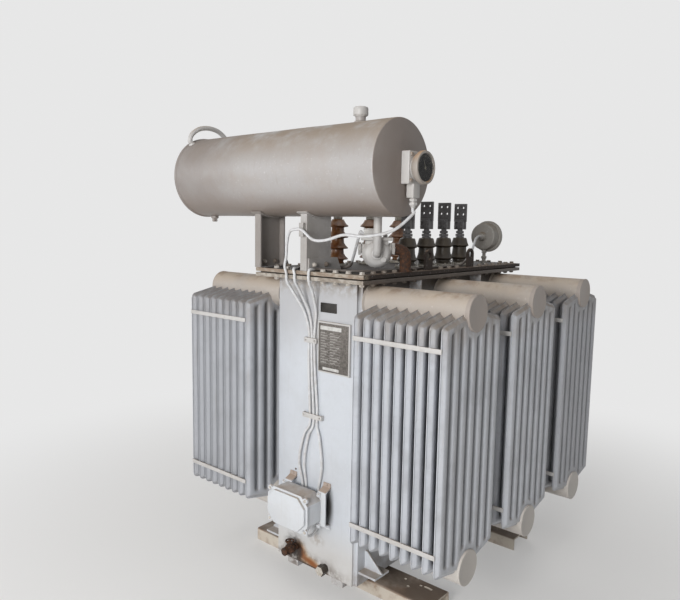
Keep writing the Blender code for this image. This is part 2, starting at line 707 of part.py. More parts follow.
def make_relay(painted, rusty):
    """Gas relay: a drum body with a flat lid and two side unions, fed from the conservator."""
    half, rim = RELAY_DEPTH / 2, RELAY_RIM_DEPTH / 2
    face = RELAY_RADIUS - RELAY_BEVEL
    shape = bmesh.new()
    profile = [(-half, face), (-rim, RELAY_RADIUS), (rim, RELAY_RADIUS), (half, face)]
    add_turned(shape, profile, 1, (0, 0, 0), LARGE_SIDES)
    centre = (RELAY_X, RELAY_Y, RELAY_Z)
    body = place("relay_body", mesh_from(shape, "relay_body"), painted, centre, RELAY_TURN, smooth=True)
    shape = bmesh.new()
    wide, deep, high = RELAY_LID
    lid_low = RELAY_RADIUS - RELAY_LID_SINK
    add_block(shape, (-wide / 2, -deep / 2, lid_low), (wide / 2, deep / 2, lid_low + high))
    combine(body, place("relay_lid", mesh_from(shape, "relay_lid"), None, centre, RELAY_TURN))
    shape = bmesh.new()
    near, far = RELAY_UNION_REACH - RELAY_UNION_LENGTH, RELAY_UNION_REACH
    profile = [(-far, RELAY_UNION_RADIUS), (-near, RELAY_UNION_RADIUS), (-near, RELAY_PIPE_RADIUS),
               (near, RELAY_PIPE_RADIUS), (near, RELAY_UNION_RADIUS), (far, RELAY_UNION_RADIUS)]
    add_turned(shape, profile, 0, (0, 0, RELAY_PIPE_RADIUS), SMALL_SIDES)
    combine(body, place("relay_unions", mesh_from(shape, "relay_unions"), None, centre, RELAY_TURN))
    wide, deep, high = RELAY_BOX
    base = lid_low + RELAY_LID[2] / 2
    shape = bmesh.new()
    add_block(shape, (RELAY_BOX_ASIDE - wide / 2, -deep / 2, base),
              (RELAY_BOX_ASIDE + wide / 2, deep / 2, base + high))
    combine(body, place("relay_box", mesh_from(shape, "relay_box"), None, centre, RELAY_TURN))
    make_relay_pipes(painted, rusty)


def make_relay_pipes(painted, rusty):
    """The pipe down from the conservator into the relay's face, and the one from its union to the cover."""
    ahead = relay_spot(0, 1) - relay_spot(0, 0)
    aside = relay_spot(1, 0) - relay_spot(0, 0)
    feed = relay_spot(0, FEED_AHEAD)
    drop = math.sqrt(CONSERVATOR_RADIUS ** 2 - (feed.y - CONSERVATOR_Y) ** 2)
    points = [(feed.x, feed.y, CONSERVATOR_Z - drop - RELAY_PIPE_RADIUS),
              (feed.x, feed.y, RELAY_Z + 2 * FEED_BEND), (feed.x, feed.y, RELAY_Z + FEED_BEND),
              relay_spot(0, FEED_AHEAD - FEED_EASE, 2 * FEED_EASE)]
    points += stub(relay_spot(0, RELAY_DEPTH / 2 + GAP), ahead, FEED_STUB)[::-1]
    tube("relay_feed_pipe", points, RELAY_PIPE_RADIUS, painted, 3, 3)
    start = RELAY_UNION_REACH + GAP
    bend = start + OUTLET_LENGTH
    level = RELAY_PIPE_RADIUS
    points = stub(relay_spot(start, 0, level), aside, OUTLET_STUB)
    points.append(relay_spot(bend - OUTLET_STUB, 0, level - OUTLET_STUB))
    points.append(relay_spot(bend, 0, level - OUTLET_DROP))
    points += stub(relay_spot(bend, 0, COVER_TOP + GAP - RELAY_Z), (0, 0, 1), OUTLET_FOOT)[::-1]
    tube("relay_outlet_pipe", points, OUTLET_RADIUS, rusty, 3, 3)


def porcelain_profile(height, core, shed, count):
    """The outline of a porcelain with evenly spaced sheds on its flange."""
    profile = [(0, FLANGE_RADIUS), (FLANGE_HEIGHT, FLANGE_RADIUS), (FLANGE_HEIGHT, core)]
    step = (height - FLANGE_HEIGHT) / count
    for k in range(count):
        low = FLANGE_HEIGHT + k * step
        profile += [(low + step * SHED_START, core), (low + step * SHED_LIP, shed),
                    (low + step * SHED_END, core)]
    return [*profile, (height, core)]


def make_bushings(olive, brown, metal):
    """The low-voltage row with its palms and the high-voltage row with its studs."""
    base = COVER_TOP + GAP
    profile = porcelain_profile(LV_HEIGHT, LV_RADIUS, LV_SHED_RADIUS, LV_SHED_COUNT)
    first = FRONT + LV_MIDDLE_FROM_END - (LV_BUSHINGS - 1) / 2 * LV_PITCH
    for k in range(LV_BUSHINGS):
        y = first + k * LV_PITCH
        turned(f"lv_bushing_{k + 1}", profile, 2, (LV_X, y, base), olive, MIDDLE_SIDES)
        make_lv_terminal(f"lv_terminal_{k + 1}", y, base + LV_HEIGHT + GAP, metal)
    profile = porcelain_profile(HV_HEIGHT, HV_RADIUS, HV_SHED_RADIUS, HV_SHED_COUNT)
    cap = [(0, HV_CAP_RADIUS), (HV_CAP_HEIGHT, HV_CAP_RADIUS), (HV_CAP_HEIGHT, HV_STUD_RADIUS),
           (HV_CAP_HEIGHT + HV_STUD_HEIGHT, HV_STUD_RADIUS)]
    for k in range(HV_BUSHINGS):
        y = FRONT + HV_FROM_END + k * HV_PITCH
        turned(f"hv_bushing_{k + 1}", profile, 2, (HV_X, y, base), brown)
        turned(f"hv_terminal_{k + 1}", cap, 2, (HV_X, y, base + HV_HEIGHT + GAP), metal)


def make_lv_terminal(name, y, low, look):
    """A stud, its clamp block and the flat palm for the connection."""
    wide, deep, high = LV_CLAMP
    bottom = low + LV_STUD_HEIGHT
    shape = bmesh.new()
    ends = [(0, LV_STUD_RADIUS), (LV_STUD_HEIGHT + high / 2, LV_STUD_RADIUS)]
    add_turned(shape, ends, 2, (LV_X, y, low), SMALL_SIDES)
    terminal = place(name, mesh_from(shape, name), look)
    clamp = block(name + "_clamp", (LV_X - wide / 2, y - deep / 2, bottom),
                  (LV_X + wide / 2, y + deep / 2, bottom + high), None)
    combine(terminal, clamp)
    palm_wide, palm_deep, palm_high = LV_PALM
    palm_low = bottom + high - palm_deep
    palm = block(name + "_palm", (LV_X - palm_wide / 2, y - palm_deep / 2, palm_low),
                 (LV_X + palm_wide / 2, y + palm_deep / 2, palm_low + palm_high), None)
    combine(terminal, palm)


def make_thermometer(painted):
    """Dial thermometer standing on its pocket; the case looks along -Y."""
    y = FRONT + DIAL_FROM_END
    z = COVER_TOP + DIAL_LIFT
    low = -DIAL_LIFT + GAP
    foot = low + POCKET_FOOT_HEIGHT
    profile = [(low, POCKET_FOOT_RADIUS), (foot, POCKET_FOOT_RADIUS), (foot, POCKET_RADIUS),
               (-DIAL_CASE_RADIUS - GAP, POCKET_RADIUS)]
    turned("thermometer_pocket", profile, 2, (DIAL_X, y - DIAL_CASE_DEPTH / 2, z), painted)
    profile = [(-DIAL_CASE_DEPTH - DIAL_BOSS_DEPTH, DIAL_BOSS_RADIUS), (-DIAL_CASE_DEPTH, DIAL_BOSS_RADIUS),
               (-DIAL_CASE_DEPTH, DIAL_CASE_RADIUS), (0, DIAL_CASE_RADIUS), (0, DIAL_RIM_RADIUS),
               (DIAL_RIM_THICK, DIAL_RIM_RADIUS)]
    turned("thermometer_case", profile, 1, (DIAL_X, y, z), painted, LARGE_SIDES)
    return Vector((DIAL_X, y - DIAL_CASE_DEPTH - DIAL_BOSS_DEPTH - GAP, z))


def make_cables(gland, dial, look):
    """The three signal cables, each along its own route to the junction box."""
    over = -COVER_Y - CABLE_RADIUS - CABLE_LIFT
    # Where a cable bends round the cover's edge, its middle is this far out and up from the corner
    round_edge = CABLE_RADIUS * 0.9
    deck = COVER_TOP + CABLE_RADIUS + CABLE_LIFT
    off = FRONT - CABLE_RADIUS - CABLE_LIFT
    upper_z, lower_z = CLAMP_UPPER_Z, CLAMP_LOWER_Z
    depth = FRONT - BOX_STANDOFF - BOX_DEPTH / 2

    low = BOX_TOP - BOX_HEIGHT

    def descent(start_x, order, box_x, spread):
        """From the cover's edge down the end wall, through both clamps and behind the junction box,
        then round into its underside."""
        upper = CLAMP_UPPER_X + order * CABLE_LANE
        lower = CLAMP_LOWER_X + order * CABLE_LANE_LOW
        route = [(start_x, over, COVER_LOW), (start_x + 0.004, over, WALL_TOP - 0.01),
                 (start_x * 0.9 + upper * 0.1, over * 0.6 + off * 0.4, WALL_TOP - 0.06),
                 (start_x * 0.4 + upper * 0.6, off - 0.004, WALL_TOP - 0.17), (upper, off, upper_z + 0.05),
                 (upper, off, upper_z - 0.05), ((upper + lower) / 2, off - 0.003, (upper_z + lower_z) / 2),
                 (lower, off, lower_z + 0.05), (lower, off, lower_z - 0.05),
                 (lower + spread * 0.55, off - 0.003, lower_z * 0.7 + BOX_TOP * 0.3),
                 (lower + spread, off - 0.004, lower_z * 0.32 + BOX_TOP * 0.68),
                 (box_x, off, BOX_TOP - 0.01), (box_x, off, low + 0.04), (box_x, off - 0.008, low - 0.02),
                 (box_x, off - 0.04, low - 0.05), (box_x, depth + 0.008, low - 0.047)]
        return route + stub((box_x, depth, low - GAP), (0, 0, -1))[::-1]

    clip_x = SUPPORT_RIGHT - SUPPORT_FLANGE / 2
    clip_y = CONSERVATOR_Y - SUPPORT_DEPTH / 2 - CLIP[1] - CABLE_RADIUS - CABLE_LIFT
    clip_z = COVER_TOP + CLIP_LIFT
    gauge = [(0.49, FRONT - 0.01, COVER_TOP + 0.215), (0.38, FRONT - 0.075, COVER_TOP + 0.185),
             (0.27, FRONT - 0.1, COVER_TOP + 0.19), (0.16, FRONT - 0.11, COVER_TOP + 0.162),
             (0.08, FRONT - 0.115, COVER_TOP + 0.162), (clip_x + 0.02, clip_y, clip_z - 0.004),
             (clip_x - 0.02, clip_y, clip_z + 0.002), (-0.1, clip_y + 0.01, clip_z - 0.012),
             (-0.14, clip_y + 0.03, clip_z - 0.07), (-0.145, clip_y + 0.03, COVER_TOP + 0.07),
             (-0.14, over - 0.002, COVER_TOP + 0.02)]
    tube("gauge_cable", [*stub(gland, (0, 0, -1)), *gauge, *descent(-0.13, -1, -0.075, -0.072)],
         CABLE_RADIUS, look)
    box = relay_spot(RELAY_BOX_ASIDE - RELAY_BOX[0] / 2 - GAP, 0, RELAY_BOX_LIFT)
    aside = relay_spot(-1, 0) - relay_spot(0, 0)
    relay = [(0.09, FRONT + 0.19, COVER_TOP + 0.07), (0.03, FRONT + 0.225, deck + 0.004),
             (-0.06, FRONT + 0.2, deck), (-0.1, FRONT + 0.1, deck), (-0.095, FRONT - 0.01, deck),
             (-0.083, over + 0.03, deck), (-0.078, -COVER_Y - round_edge, COVER_TOP + round_edge)]
    tube("relay_cable", [*stub(box, aside, 0.02), *relay, *descent(-0.07, 0, -0.05, -0.06)],
         CABLE_RADIUS, look)
    lead = [(DIAL_X + 0.012, dial.y - 0.08, COVER_TOP + 0.165), (0.288, dial.y - 0.15, COVER_TOP + 0.135),
            (0.308, dial.y - 0.22, COVER_TOP + 0.085), (0.312, dial.y - 0.3, COVER_TOP + 0.03),
            (0.311, dial.y - 0.38, deck), (0.31, -0.1, deck), (0.31, -0.35, deck),
            (0.305, FRONT + 0.16, deck), (0.26, FRONT + 0.04, deck), (0.16, FRONT - 0.01, deck),
            (0.06, FRONT - 0.025, deck), (0.035, over + 0.03, deck),
            (0.034, -COVER_Y - round_edge, COVER_TOP + round_edge)]
    tube("thermometer_cable", [*stub(dial, (0, -1, 0)), *lead, *descent(0.03, 1, 0.04, 0.042)],
         CABLE_RADIUS, look)


def make_clamp(name, x, z, width, look):
    """A flat strap with two legs that holds the cables against the end wall."""
    wall = FRONT - GAP
    near = FRONT - 2 * CABLE_RADIUS - 2 * CABLE_LIFT
    left, right = x - width / 2, x + width / 2
    outline = [(left, near - CLAMP_THICK), (right, near - CLAMP_THICK), (right, wall),
               (right - CLAMP_THICK, wall), (right - CLAMP_THICK, near), (left + CLAMP_THICK, near),
               (left + CLAMP_THICK, wall), (left, wall)]
    shape = bmesh.new()
    add_prism(shape, outline, 2, z - CLAMP_HEIGHT / 2, z + CLAMP_HEIGHT / 2)
    place(name, mesh_from(shape, name), look)


def make_plates(painted, zinc, dark):
    """The rating plate on its shallow frame, and the small plate above it."""
    wall = FRONT - GAP
    seat = wall - FRAME_DEPTH
    right, top = PLATE_LEFT + PLATE_WIDTH, WALL_TOP - PLATE_DROP
    margin = FRAME_MARGIN
    block("rating_plate_frame", (PLATE_LEFT - margin, seat, PLATE_LOW - margin),
          (right + margin, wall, top + margin), painted)
    block("rating_plate", (PLATE_LEFT, seat - GAP - PLATE_THICK, PLATE_LOW), (right, seat - GAP, top), zinc)
    top = WALL_TOP - LABEL_DROP
    block("small_plate", (LABEL_LEFT, wall - PLATE_THICK, top - LABEL_HEIGHT),
          (LABEL_LEFT + LABEL_WIDTH, wall, top), dark)


def make_junction_box(look):
    """Cast box with cut corners and a raised lid, on two bent straps that stand it off the wall."""
    def cut_corner(left, low, right, high, cut):
        return [(left + cut, low), (right - cut, low), (right, low + cut), (right, high - cut),
                (right - cut, high), (left + cut, high), (left, high - cut), (left, low + cut)]

    low = BOX_TOP - BOX_HEIGHT
    right = BOX_LEFT + BOX_WIDTH
    wall, back = FRONT - GAP, FRONT - BOX_STANDOFF
    front = back - BOX_DEPTH
    shape = bmesh.new()
    add_prism(shape, cut_corner(BOX_LEFT, low, right, BOX_TOP, BOX_CHAMFER), 1, front, back)
    box = place("junction_box", mesh_from(shape, "junction_box"), look)
    shape = bmesh.new()
    grow = LID_MARGIN
    outline = cut_corner(BOX_LEFT - grow, low - grow, right + grow, BOX_TOP + grow, BOX_CHAMFER)
    add_prism(shape, outline, 1, front - GAP - LID_THICK, front - GAP)
    place("junction_lid", mesh_from(shape, "junction_lid"), look)
    thick, foot = BRACKET_THICK, BRACKET_FOOT
    knee_low, knee_high = low + BRACKET_KNEES[0], BOX_TOP + BRACKET_KNEES[1]
    end_low, end_high = low + BRACKET_ENDS[0], BOX_TOP + BRACKET_ENDS[1]
    # The strap is let a little into the box's back
    plate = back - thick / 3
    outline = [(wall - thick, end_high + foot), (wall - thick, end_high), (plate, knee_high),
               (plate, knee_low), (wall - thick, end_low), (wall - thick, end_low - foot),
               (wall, end_low - foot), (wall, end_low + thick), (plate + thick, knee_low + thick),
               (plate + thick, knee_high - thick), (wall, end_high - thick), (wall, end_high + foot)]
    last = right - BRACKET_FROM_RIGHT
    for name, edge in (("bracket_left", last - BRACKET_SPACING), ("bracket_right", last)):
        shape = bmesh.new()
        add_prism(shape, outline, 0, edge - BRACKET_WIDTH, edge)
        combine(box, place("junction_" + name, mesh_from(shape, name), None))


def make_drain(rusty):
    """Drain valve with its handle, and the hexagon plug low on the end wall."""
    z = TANK_Z + VALVE_HEIGHT
    nose, body = VALVE_REACH - VALVE_NOSE, VALVE_BODY_BACK + VALVE_BODY_LENGTH
    profile = [(-VALVE_REACH, VALVE_NOSE_RADIUS), (-nose, VALVE_NOSE_RADIUS), (-nose, VALVE_NECK_RADIUS),
               (-body, VALVE_BODY_RADIUS), (-VALVE_BODY_BACK, VALVE_BODY_RADIUS),
               (VALVE_SHOULDER - VALVE_BODY_BACK, VALVE_PIPE_RADIUS), (-GAP, VALVE_PIPE_RADIUS)]
    valve = turned("drain_valve", profile, 1, (VALVE_X, FRONT, z), rusty)
    shape = bmesh.new()
    middle = FRONT - VALVE_BODY_BACK - VALVE_BODY_LENGTH / 2
    profile = [(0, VALVE_STEM_RADIUS), (VALVE_STEM_HEIGHT, VALVE_STEM_RADIUS),
               (VALVE_STEM_HEIGHT, VALVE_HANDLE_RADIUS),
               (VALVE_STEM_HEIGHT + VALVE_HANDLE_THICK, VALVE_HANDLE_RADIUS)]
    add_turned(shape, profile, 2, (VALVE_X, middle, z), SMALL_SIDES)
    combine(valve, place("drain_valve_handle", mesh_from(shape, "drain_valve_handle"), None))
    profile = [(-PLUG_REACH, PLUG_RADIUS), (-PLUG_NECK, PLUG_RADIUS), (-PLUG_NECK, PLUG_NECK_RADIUS),
               (-GAP, PLUG_NECK_RADIUS)]
    turned("drain_plug", profile, 1, (PLUG_X, FRONT, TANK_Z + PLUG_HEIGHT), rusty, HEXAGON)


def stand_on_floor(root):
    """Moves the whole model so that its bounding box's bottom centre is the origin."""
    bpy.context.view_layer.update()
    graph = bpy.context.evaluated_depsgraph_get()
    spots = []
    for made in bpy.data.objects:
        if made.type == "EMPTY" or made.hide_render:
            continue
        seen = made.evaluated_get(graph)
        spots += [seen.matrix_world @ corner.co for corner in seen.to_mesh().vertices]
        seen.to_mesh_clear()
    lows = [min(spot[axis] for spot in spots) for axis in range(3)]
    highs = [max(spot[axis] for spot in spots) for axis in range(3)]
    root.location = (-(lows[0] + highs[0]) / 2, -(lows[1] + highs[1]) / 2, -lows[2])


def main():
    clear_scene()
    root = bpy.data.objects.new("transformer", None)
    bpy.context.scene.collection.objects.link(root)
    painted = material("tank_paint", (0.60, 0.60, 0.58), 0.5)
    radiator_paint = material("radiator_paint", (0.62, 0.62, 0.60), 0.45)
    cover_paint = material("dirty_cover_paint", (0.40, 0.36, 0.31), 0.75)
    base_paint = material("rusty_base_paint", (0.45, 0.36, 0.28), 0.8)
    zinc = material("bare_metal", (0.50, 0.50, 0.49), 0.4, 1.0)
    rusty = material("rusted_steel", (0.16, 0.09, 0.05), 0.85)
    dark = material("dark_plastic", (0.05, 0.05, 0.05), 0.5)
    rubber = material("gasket_rubber", (0.02, 0.02, 0.02), 0.9)
    sheath = material("cable_sheath", (0.55, 0.53, 0.50), 0.6)
    porcelain = material("lv_porcelain", (0.16, 0.11, 0.06), 0.2)
    brown = material("hv_porcelain", (0.10, 0.04, 0.02), 0.15)

    make_tank(painted)
    low = RIM_TOP + GAP
    block("gasket", (-COVER_X + RIM_THICK, -COVER_Y + RIM_THICK, low),
          (COVER_X - RIM_THICK, COVER_Y - RIM_THICK, low + GASKET_THICK), rubber)
    block("cover", (-COVER_X, -COVER_Y, COVER_LOW), (COVER_X, COVER_Y, COVER_TOP), cover_paint)
    make_lugs(cover_paint)
    make_base(base_paint)
    for k in range(RADIATORS):
        y = (k - (RADIATORS - 1) / 2) * RADIATOR_SPACING
        make_radiator(f"radiator_right_{k + 1}", 1, y, radiator_paint)
        make_radiator(f"radiator_left_{k + 1}", -1, y, radiator_paint)
    make_conservator(painted)
    make_support("support_left", SUPPORT_LEFT, 1, painted)
    right = make_support("support_right", SUPPORT_RIGHT, -1, painted)
    add_clip(right)
    gland = make_gauge(painted, dark)
    make_relay(painted, rusty)
    make_bushings(porcelain, brown, zinc)
    dial = make_thermometer(painted)
    make_cables(gland, dial, sheath)
    make_clamp("cable_clamp_upper", CLAMP_UPPER_X, CLAMP_UPPER_Z, CLAMP_UPPER_WIDTH, zinc)
    make_clamp("cable_clamp_lower", CLAMP_LOWER_X, CLAMP_LOWER_Z, CLAMP_LOWER_WIDTH, zinc)
    make_junction_box(painted)
    make_plates(painted, zinc, dark)
    make_drain(rusty)
    stand_on_floor(root)


main()
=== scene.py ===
"""The looks of the power transformer: an oil-filled unit in worn light grey enamel, with dust on its
tops, brown grime on its cover and base, and rust at its drain. Metres, in the row's own frame."""
import math

import bmesh
import bpy
from mathutils import Matrix, Vector


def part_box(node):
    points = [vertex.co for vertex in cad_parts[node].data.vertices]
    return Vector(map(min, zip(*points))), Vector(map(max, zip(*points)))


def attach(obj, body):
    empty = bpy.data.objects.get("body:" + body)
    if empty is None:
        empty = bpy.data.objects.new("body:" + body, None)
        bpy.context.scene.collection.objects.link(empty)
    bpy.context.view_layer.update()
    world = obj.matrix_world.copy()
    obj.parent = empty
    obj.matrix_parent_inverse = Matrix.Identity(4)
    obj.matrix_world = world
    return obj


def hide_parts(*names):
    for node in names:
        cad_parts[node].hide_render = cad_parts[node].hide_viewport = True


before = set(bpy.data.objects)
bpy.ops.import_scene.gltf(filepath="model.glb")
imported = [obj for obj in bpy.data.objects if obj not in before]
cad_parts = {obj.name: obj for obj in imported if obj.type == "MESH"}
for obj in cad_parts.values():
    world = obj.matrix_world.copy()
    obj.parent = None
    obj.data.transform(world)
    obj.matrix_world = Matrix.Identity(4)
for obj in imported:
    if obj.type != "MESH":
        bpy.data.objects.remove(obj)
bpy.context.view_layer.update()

# The tank's middle in the row frame; every length below is measured from there
COVER_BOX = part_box("cover")
HERE = Vector(((COVER_BOX[0].x + COVER_BOX[1].x) / 2, (COVER_BOX[0].y + COVER_BOX[1].y) / 2, 0))

# Tank and cover
TANK_X, TANK_Y = 0.295, 0.755
FRONT = -TANK_Y
TANK_Z, WALL_TOP = 0.1153, 1.7103
COVER_LOW, COVER_TOP = 1.7369, 1.7569
COVER_X, COVER_Y = 0.378, 0.838
# Cable runs and clamps on the end wall
CABLE_RADIUS, CABLE_LIFT = 0.0075, 0.0015
CLAMP_UPPER = Vector((-0.02, 0, 1.3873))
CLAMP_LOWER = Vector((-0.002, 0, 0.9793))
BOX_LEFT, BOX_RIGHT, BOX_LOW, BOX_TOP = -0.192, 0.094, 0.3933, 0.5883
BOX_BACK, BOX_FRONT = FRONT - 0.045, FRONT - 0.145
# Where the gauge's, the relay's and the thermometer's cables enter the junction box
GLANDS = (-0.075, -0.05, 0.04)
# Conservator
DRUM_RADIUS = 0.2265
DRUM_LEFT, DRUM_RIGHT = -0.93, 0.52
DRUM_Y, DRUM_Z = -0.7425, 2.2609
GAUGE_Y = DRUM_Y + 0.052
# Gas relay, turned to face between the end wall and the gauge end
RELAY = Vector((0.236, FRONT + 0.2, COVER_TOP + 0.096))
RELAY_TURN = math.radians(40.0)
# Dial thermometer, at the middle of its flange
THERMOMETER = Vector((0.25, FRONT + 1.36, COVER_TOP + 0.177))
# Bushings: two rows along the cover
LV_X, LV_FIRST, LV_PITCH = 0.2, FRONT + 0.53, 0.19
HV_X, HV_FIRST, HV_PITCH = -0.17, FRONT + 0.36, 0.3
# Fitted parts stand this far off their seats, as the solids do
SEAT = 0.0003


# Mesh tools

def stand(spot, way=(0, 0, 1), turn=0.0):
    """The placing that sets a shape's own Z axis along way, at spot."""
    lean = Vector(way).to_track_quat("Z", "Y").to_matrix().to_4x4()
    return Matrix.Translation(spot) @ lean @ Matrix.Rotation(turn, 4, "Z")


def join_rings(shape, rings):
    """Faces between rings of points, and over both ends."""
    sides = max(len(ring) for ring in rings)
    for first, second in zip(rings, rings[1:]):
        for k in range(sides):
            j = (k + 1) % sides
            corners = [first[k % len(first)], first[j % len(first)],
                       second[j % len(second)], second[k % len(second)]]
            shape.faces.new(list(dict.fromkeys(corners)))
    for ring in (rings[0], rings[-1]):
        if len(ring) > 2:
            shape.faces.new(ring)


def add_turned(shape, profile, spot, way=(0, 0, 1), sides=48, turn=0.0):
    """A turned solid: profile is (distance along way, radius) from one end to the other."""
    placed = stand(spot, way, turn)
    rings = []
    for along, radius in profile:
        angles = [2 * math.pi * (k + 0.5) / sides for k in range(sides if radius > 0 else 1)]
        rings.append([shape.verts.new(placed @ Vector((radius * math.cos(a), radius * math.sin(a), along)))
                      for a in angles])
    join_rings(shape, rings)


def soften(shape, corners, edge):
    """Rounds the edges that meet these corners."""
    lines = list({line for corner in corners for line in corner.link_edges})
    bmesh.ops.bevel(shape, geom=lines, offset=edge, segments=2, profile=0.5, affect="EDGES")


def add_box(shape, low, high, edge=0.0015, placed=None):
    """A block with softened edges between two opposite corners."""
    low, high = Vector(low), Vector(high)
    corners = bmesh.ops.create_cube(shape, size=1.0)["verts"]
    for corner in corners:
        corner.co = corner.co * (high - low) + (high + low) / 2
        if placed is not None:
            corner.co = placed @ corner.co
    soften(shape, corners, edge)


def add_prism(shape, outline, axis, low, high, edge=0.0):
    """An outline of (a, b) points drawn out along X, Y or Z; a and b are the other two axes in order."""
    ends = []
    for along in (low, high):
        ends.append([shape.verts.new([*point[:axis], along, *point[axis:]]) for point in outline])
    join_rings(shape, ends)
    if edge:
        soften(shape, [corner for end in ends for corner in end], edge)


def add_tube(shape, points, radius, sides=16):
    """A round bar or cable along a route; each ring turns as little as it can from the last."""
    points = [Vector(point) for point in points]
    runs = [(b - a).normalized() for a, b in zip(points, points[1:])]
    ways = [runs[0], *[(a + b).normalized() for a, b in zip(runs, runs[1:])], runs[-1]]
    across = ways[0].orthogonal().normalized()
    rings = []
    for point, way in zip(points, ways):
        across = (across - across.dot(way) * way).normalized()
        other = way.cross(across)
        angles = [2 * math.pi * k / sides for k in range(sides)]
        rings.append([shape.verts.new(point + radius * (math.cos(a) * across + math.sin(a) * other))
                      for a in angles])
    join_rings(shape, rings)


def add_bolt(shape, spot, way, thread, turn=0.0, tip=0.0):
    """A hexagon head or nut on its washer, in the real proportions for its thread."""
    washer, head, corner = 0.16 * thread, 0.62 * thread, 0.866 * thread
    add_turned(shape, [(0, 0.98 * thread), (washer, 0.98 * thread)], spot, way, 20)
    add_turned(shape, [(washer, corner), (washer + 0.8 * head, corner), (washer + head, 0.86 * corner)],
               spot, way, 6, turn)
    if tip:
        add_turned(shape, [(washer, thread / 2), (washer + head + tip, thread / 2)], spot, way, 12)


def add_nut(shape, start, end, corner, taken_down, spot, way=(0, 0, 1), turn=0.0, bevel=0.002):
    """A hexagon from start to end along way, its corners taken down at both ends."""
    add_turned(shape, [(start, taken_down), (start + bevel, corner), (end - bevel, corner),
                       (end, taken_down)], spot, way, 6, turn)


def smooth_route(points, steps):
    """Points along a smooth curve through the route's own points."""
    points = [Vector(point) for point in points]
    ends = [2 * points[0] - points[1], *points, 2 * points[-1] - points[-2]]
    route = []
    for a, b, c, d in zip(ends, ends[1:], ends[2:], ends[3:]):
        for k in range(steps):
            t = k / steps
            route.append(0.5 * (2 * b + (c - a) * t + (2 * a - 5 * b + 4 * c - d) * t ** 2
                                + (3 * b - a - 3 * c + d) * t ** 3))
    return [*route, points[-1]]


def stub(start, way, length=0.03):
    """Three points in line, so that a pipe or cable leaves its seat square."""
    start, way = Vector(start), Vector(way)
    return [start, start + way * length / 2, start + way * length]


def place_object(name, data):
    """A new object in the scene that shows this data."""
    made = bpy.data.objects.new(name, data)
    bpy.context.scene.collection.objects.link(made)
    return made


def mesh_from(name, shape):
    """The finished shape as a mesh."""
    data = bpy.data.meshes.new(name)
    shape.to_mesh(data)
    shape.free()
    return data


def mount_piece(name, data, look, nodes, angle):
    """Gives a mesh its look and mounts it on the transformer, in place of the solids it stands for."""
    data.materials.append(look)
    data.shade_smooth()
    data.set_sharp_from_angle(angle=math.radians(angle))
    made = place_object(name, data)
    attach(made, "root")
    if nodes:
        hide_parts(*nodes)
    return made


def piece(name, shape, look, slot, *nodes, placed=None, angle=35):
    """Brings a finished shape into the row frame as a piece on the transformer."""
    bmesh.ops.recalc_face_normals(shape, faces=shape.faces)
    shape.transform(Matrix.Translation(HERE) @ (placed or Matrix.Identity(4)))
    return mount_piece(name, mesh_from(name, shape), look, nodes, angle)


def turned_piece(name, profile, spot, way, sides, look, slot, *nodes):
    """A piece that is one turned solid."""
    shape = bmesh.new()
    add_turned(shape, profile, spot, way, sides)
    piece(name, shape, look, slot, *nodes)


# Materials

def linear(code):
    """An sRGB hex colour as the linear colour that a shader takes."""
    shares = [int(code[k:k + 2], 16) / 255 for k in (1, 3, 5)]
    return [c / 12.92 if c <= 0.04045 else ((c + 0.055) / 1.055) ** 2.4 for c in shares] + [1.0]


def node(tree, kind, links=None, **settings):
    """Adds one node with its settings; links fills its sockets with values or other sockets."""
    made = tree.nodes.new("ShaderNode" + kind)
    for name, value in settings.items():
        setattr(made, name, value)
    for socket, value in (links or {}).items():
        if isinstance(value, bpy.types.NodeSocket):
            tree.links.new(value, made.inputs[socket])
        else:
            made.inputs[socket].default_value = value
    return made


def new_look(name, roughness, metallic=0.0, ior=1.5):
    """A named material and the places that its patterns are laid by, in metres."""
    look = bpy.data.materials.new(name)
    look.use_nodes = True
    tree = look.node_tree
    shader = tree.nodes["Principled BSDF"]
    shader.inputs["Roughness"].default_value = roughness
    shader.inputs["Metallic"].default_value = metallic
    shader.inputs["IOR"].default_value = ior
    return look, tree, shader, node(tree, "TexCoord").outputs["Object"]


def clouds(tree, spot, size, low, high, detail=3.0, stretch=(1, 1, 1), shift=0.0):
    """A cloudy mask of patches about size metres across: 0 below low, 1 above high."""
    scale = [share / size for share in stretch]
    laid = node(tree, "Mapping", {"Vector": spot, "Scale": scale, "Location": (shift, shift, shift)})
    cloud = node(tree, "TexNoise", {"Vector": laid.outputs[0], "Scale": 1.0, "Detail": detail,
                                    "Roughness": 0.6})
    return node(tree, "MapRange", {0: cloud.outputs[0], 1: low, 2: high},
                interpolation_type="SMOOTHSTEP").outputs[0]


def product(tree, *masks):
    """All the masks or plain shares multiplied together."""
    whole = masks[0]
    for mask in masks[1:]:
        whole = node(tree, "Math", {0: whole, 1: mask}, operation="MULTIPLY").outputs[0]
    return whole


def facing(tree, axis, low, high):
    """A mask for faces by where they look: 0 where the normal's share along the axis is low, 1 where high."""
    normal = node(tree, "NewGeometry").outputs["Normal"]
    share = node(tree, "SeparateXYZ", {0: normal}).outputs[axis]
    return node(tree, "MapRange", {0: share, 1: low, 2: high}, interpolation_type="SMOOTHSTEP").outputs[0]


def facing_up(tree, low, high):
    """The same for faces that look up."""
    return facing(tree, "Z", low, high)


def between(tree, spot, axis, start, end):
    """A mask along one axis: 0 at start and 1 at end, in metres in the row frame."""
    along = node(tree, "SeparateXYZ", {0: spot}).outputs[axis]
    return node(tree, "MapRange", {0: along, 1: start, 2: end}, interpolation_type="SMOOTHSTEP").outputs[0]


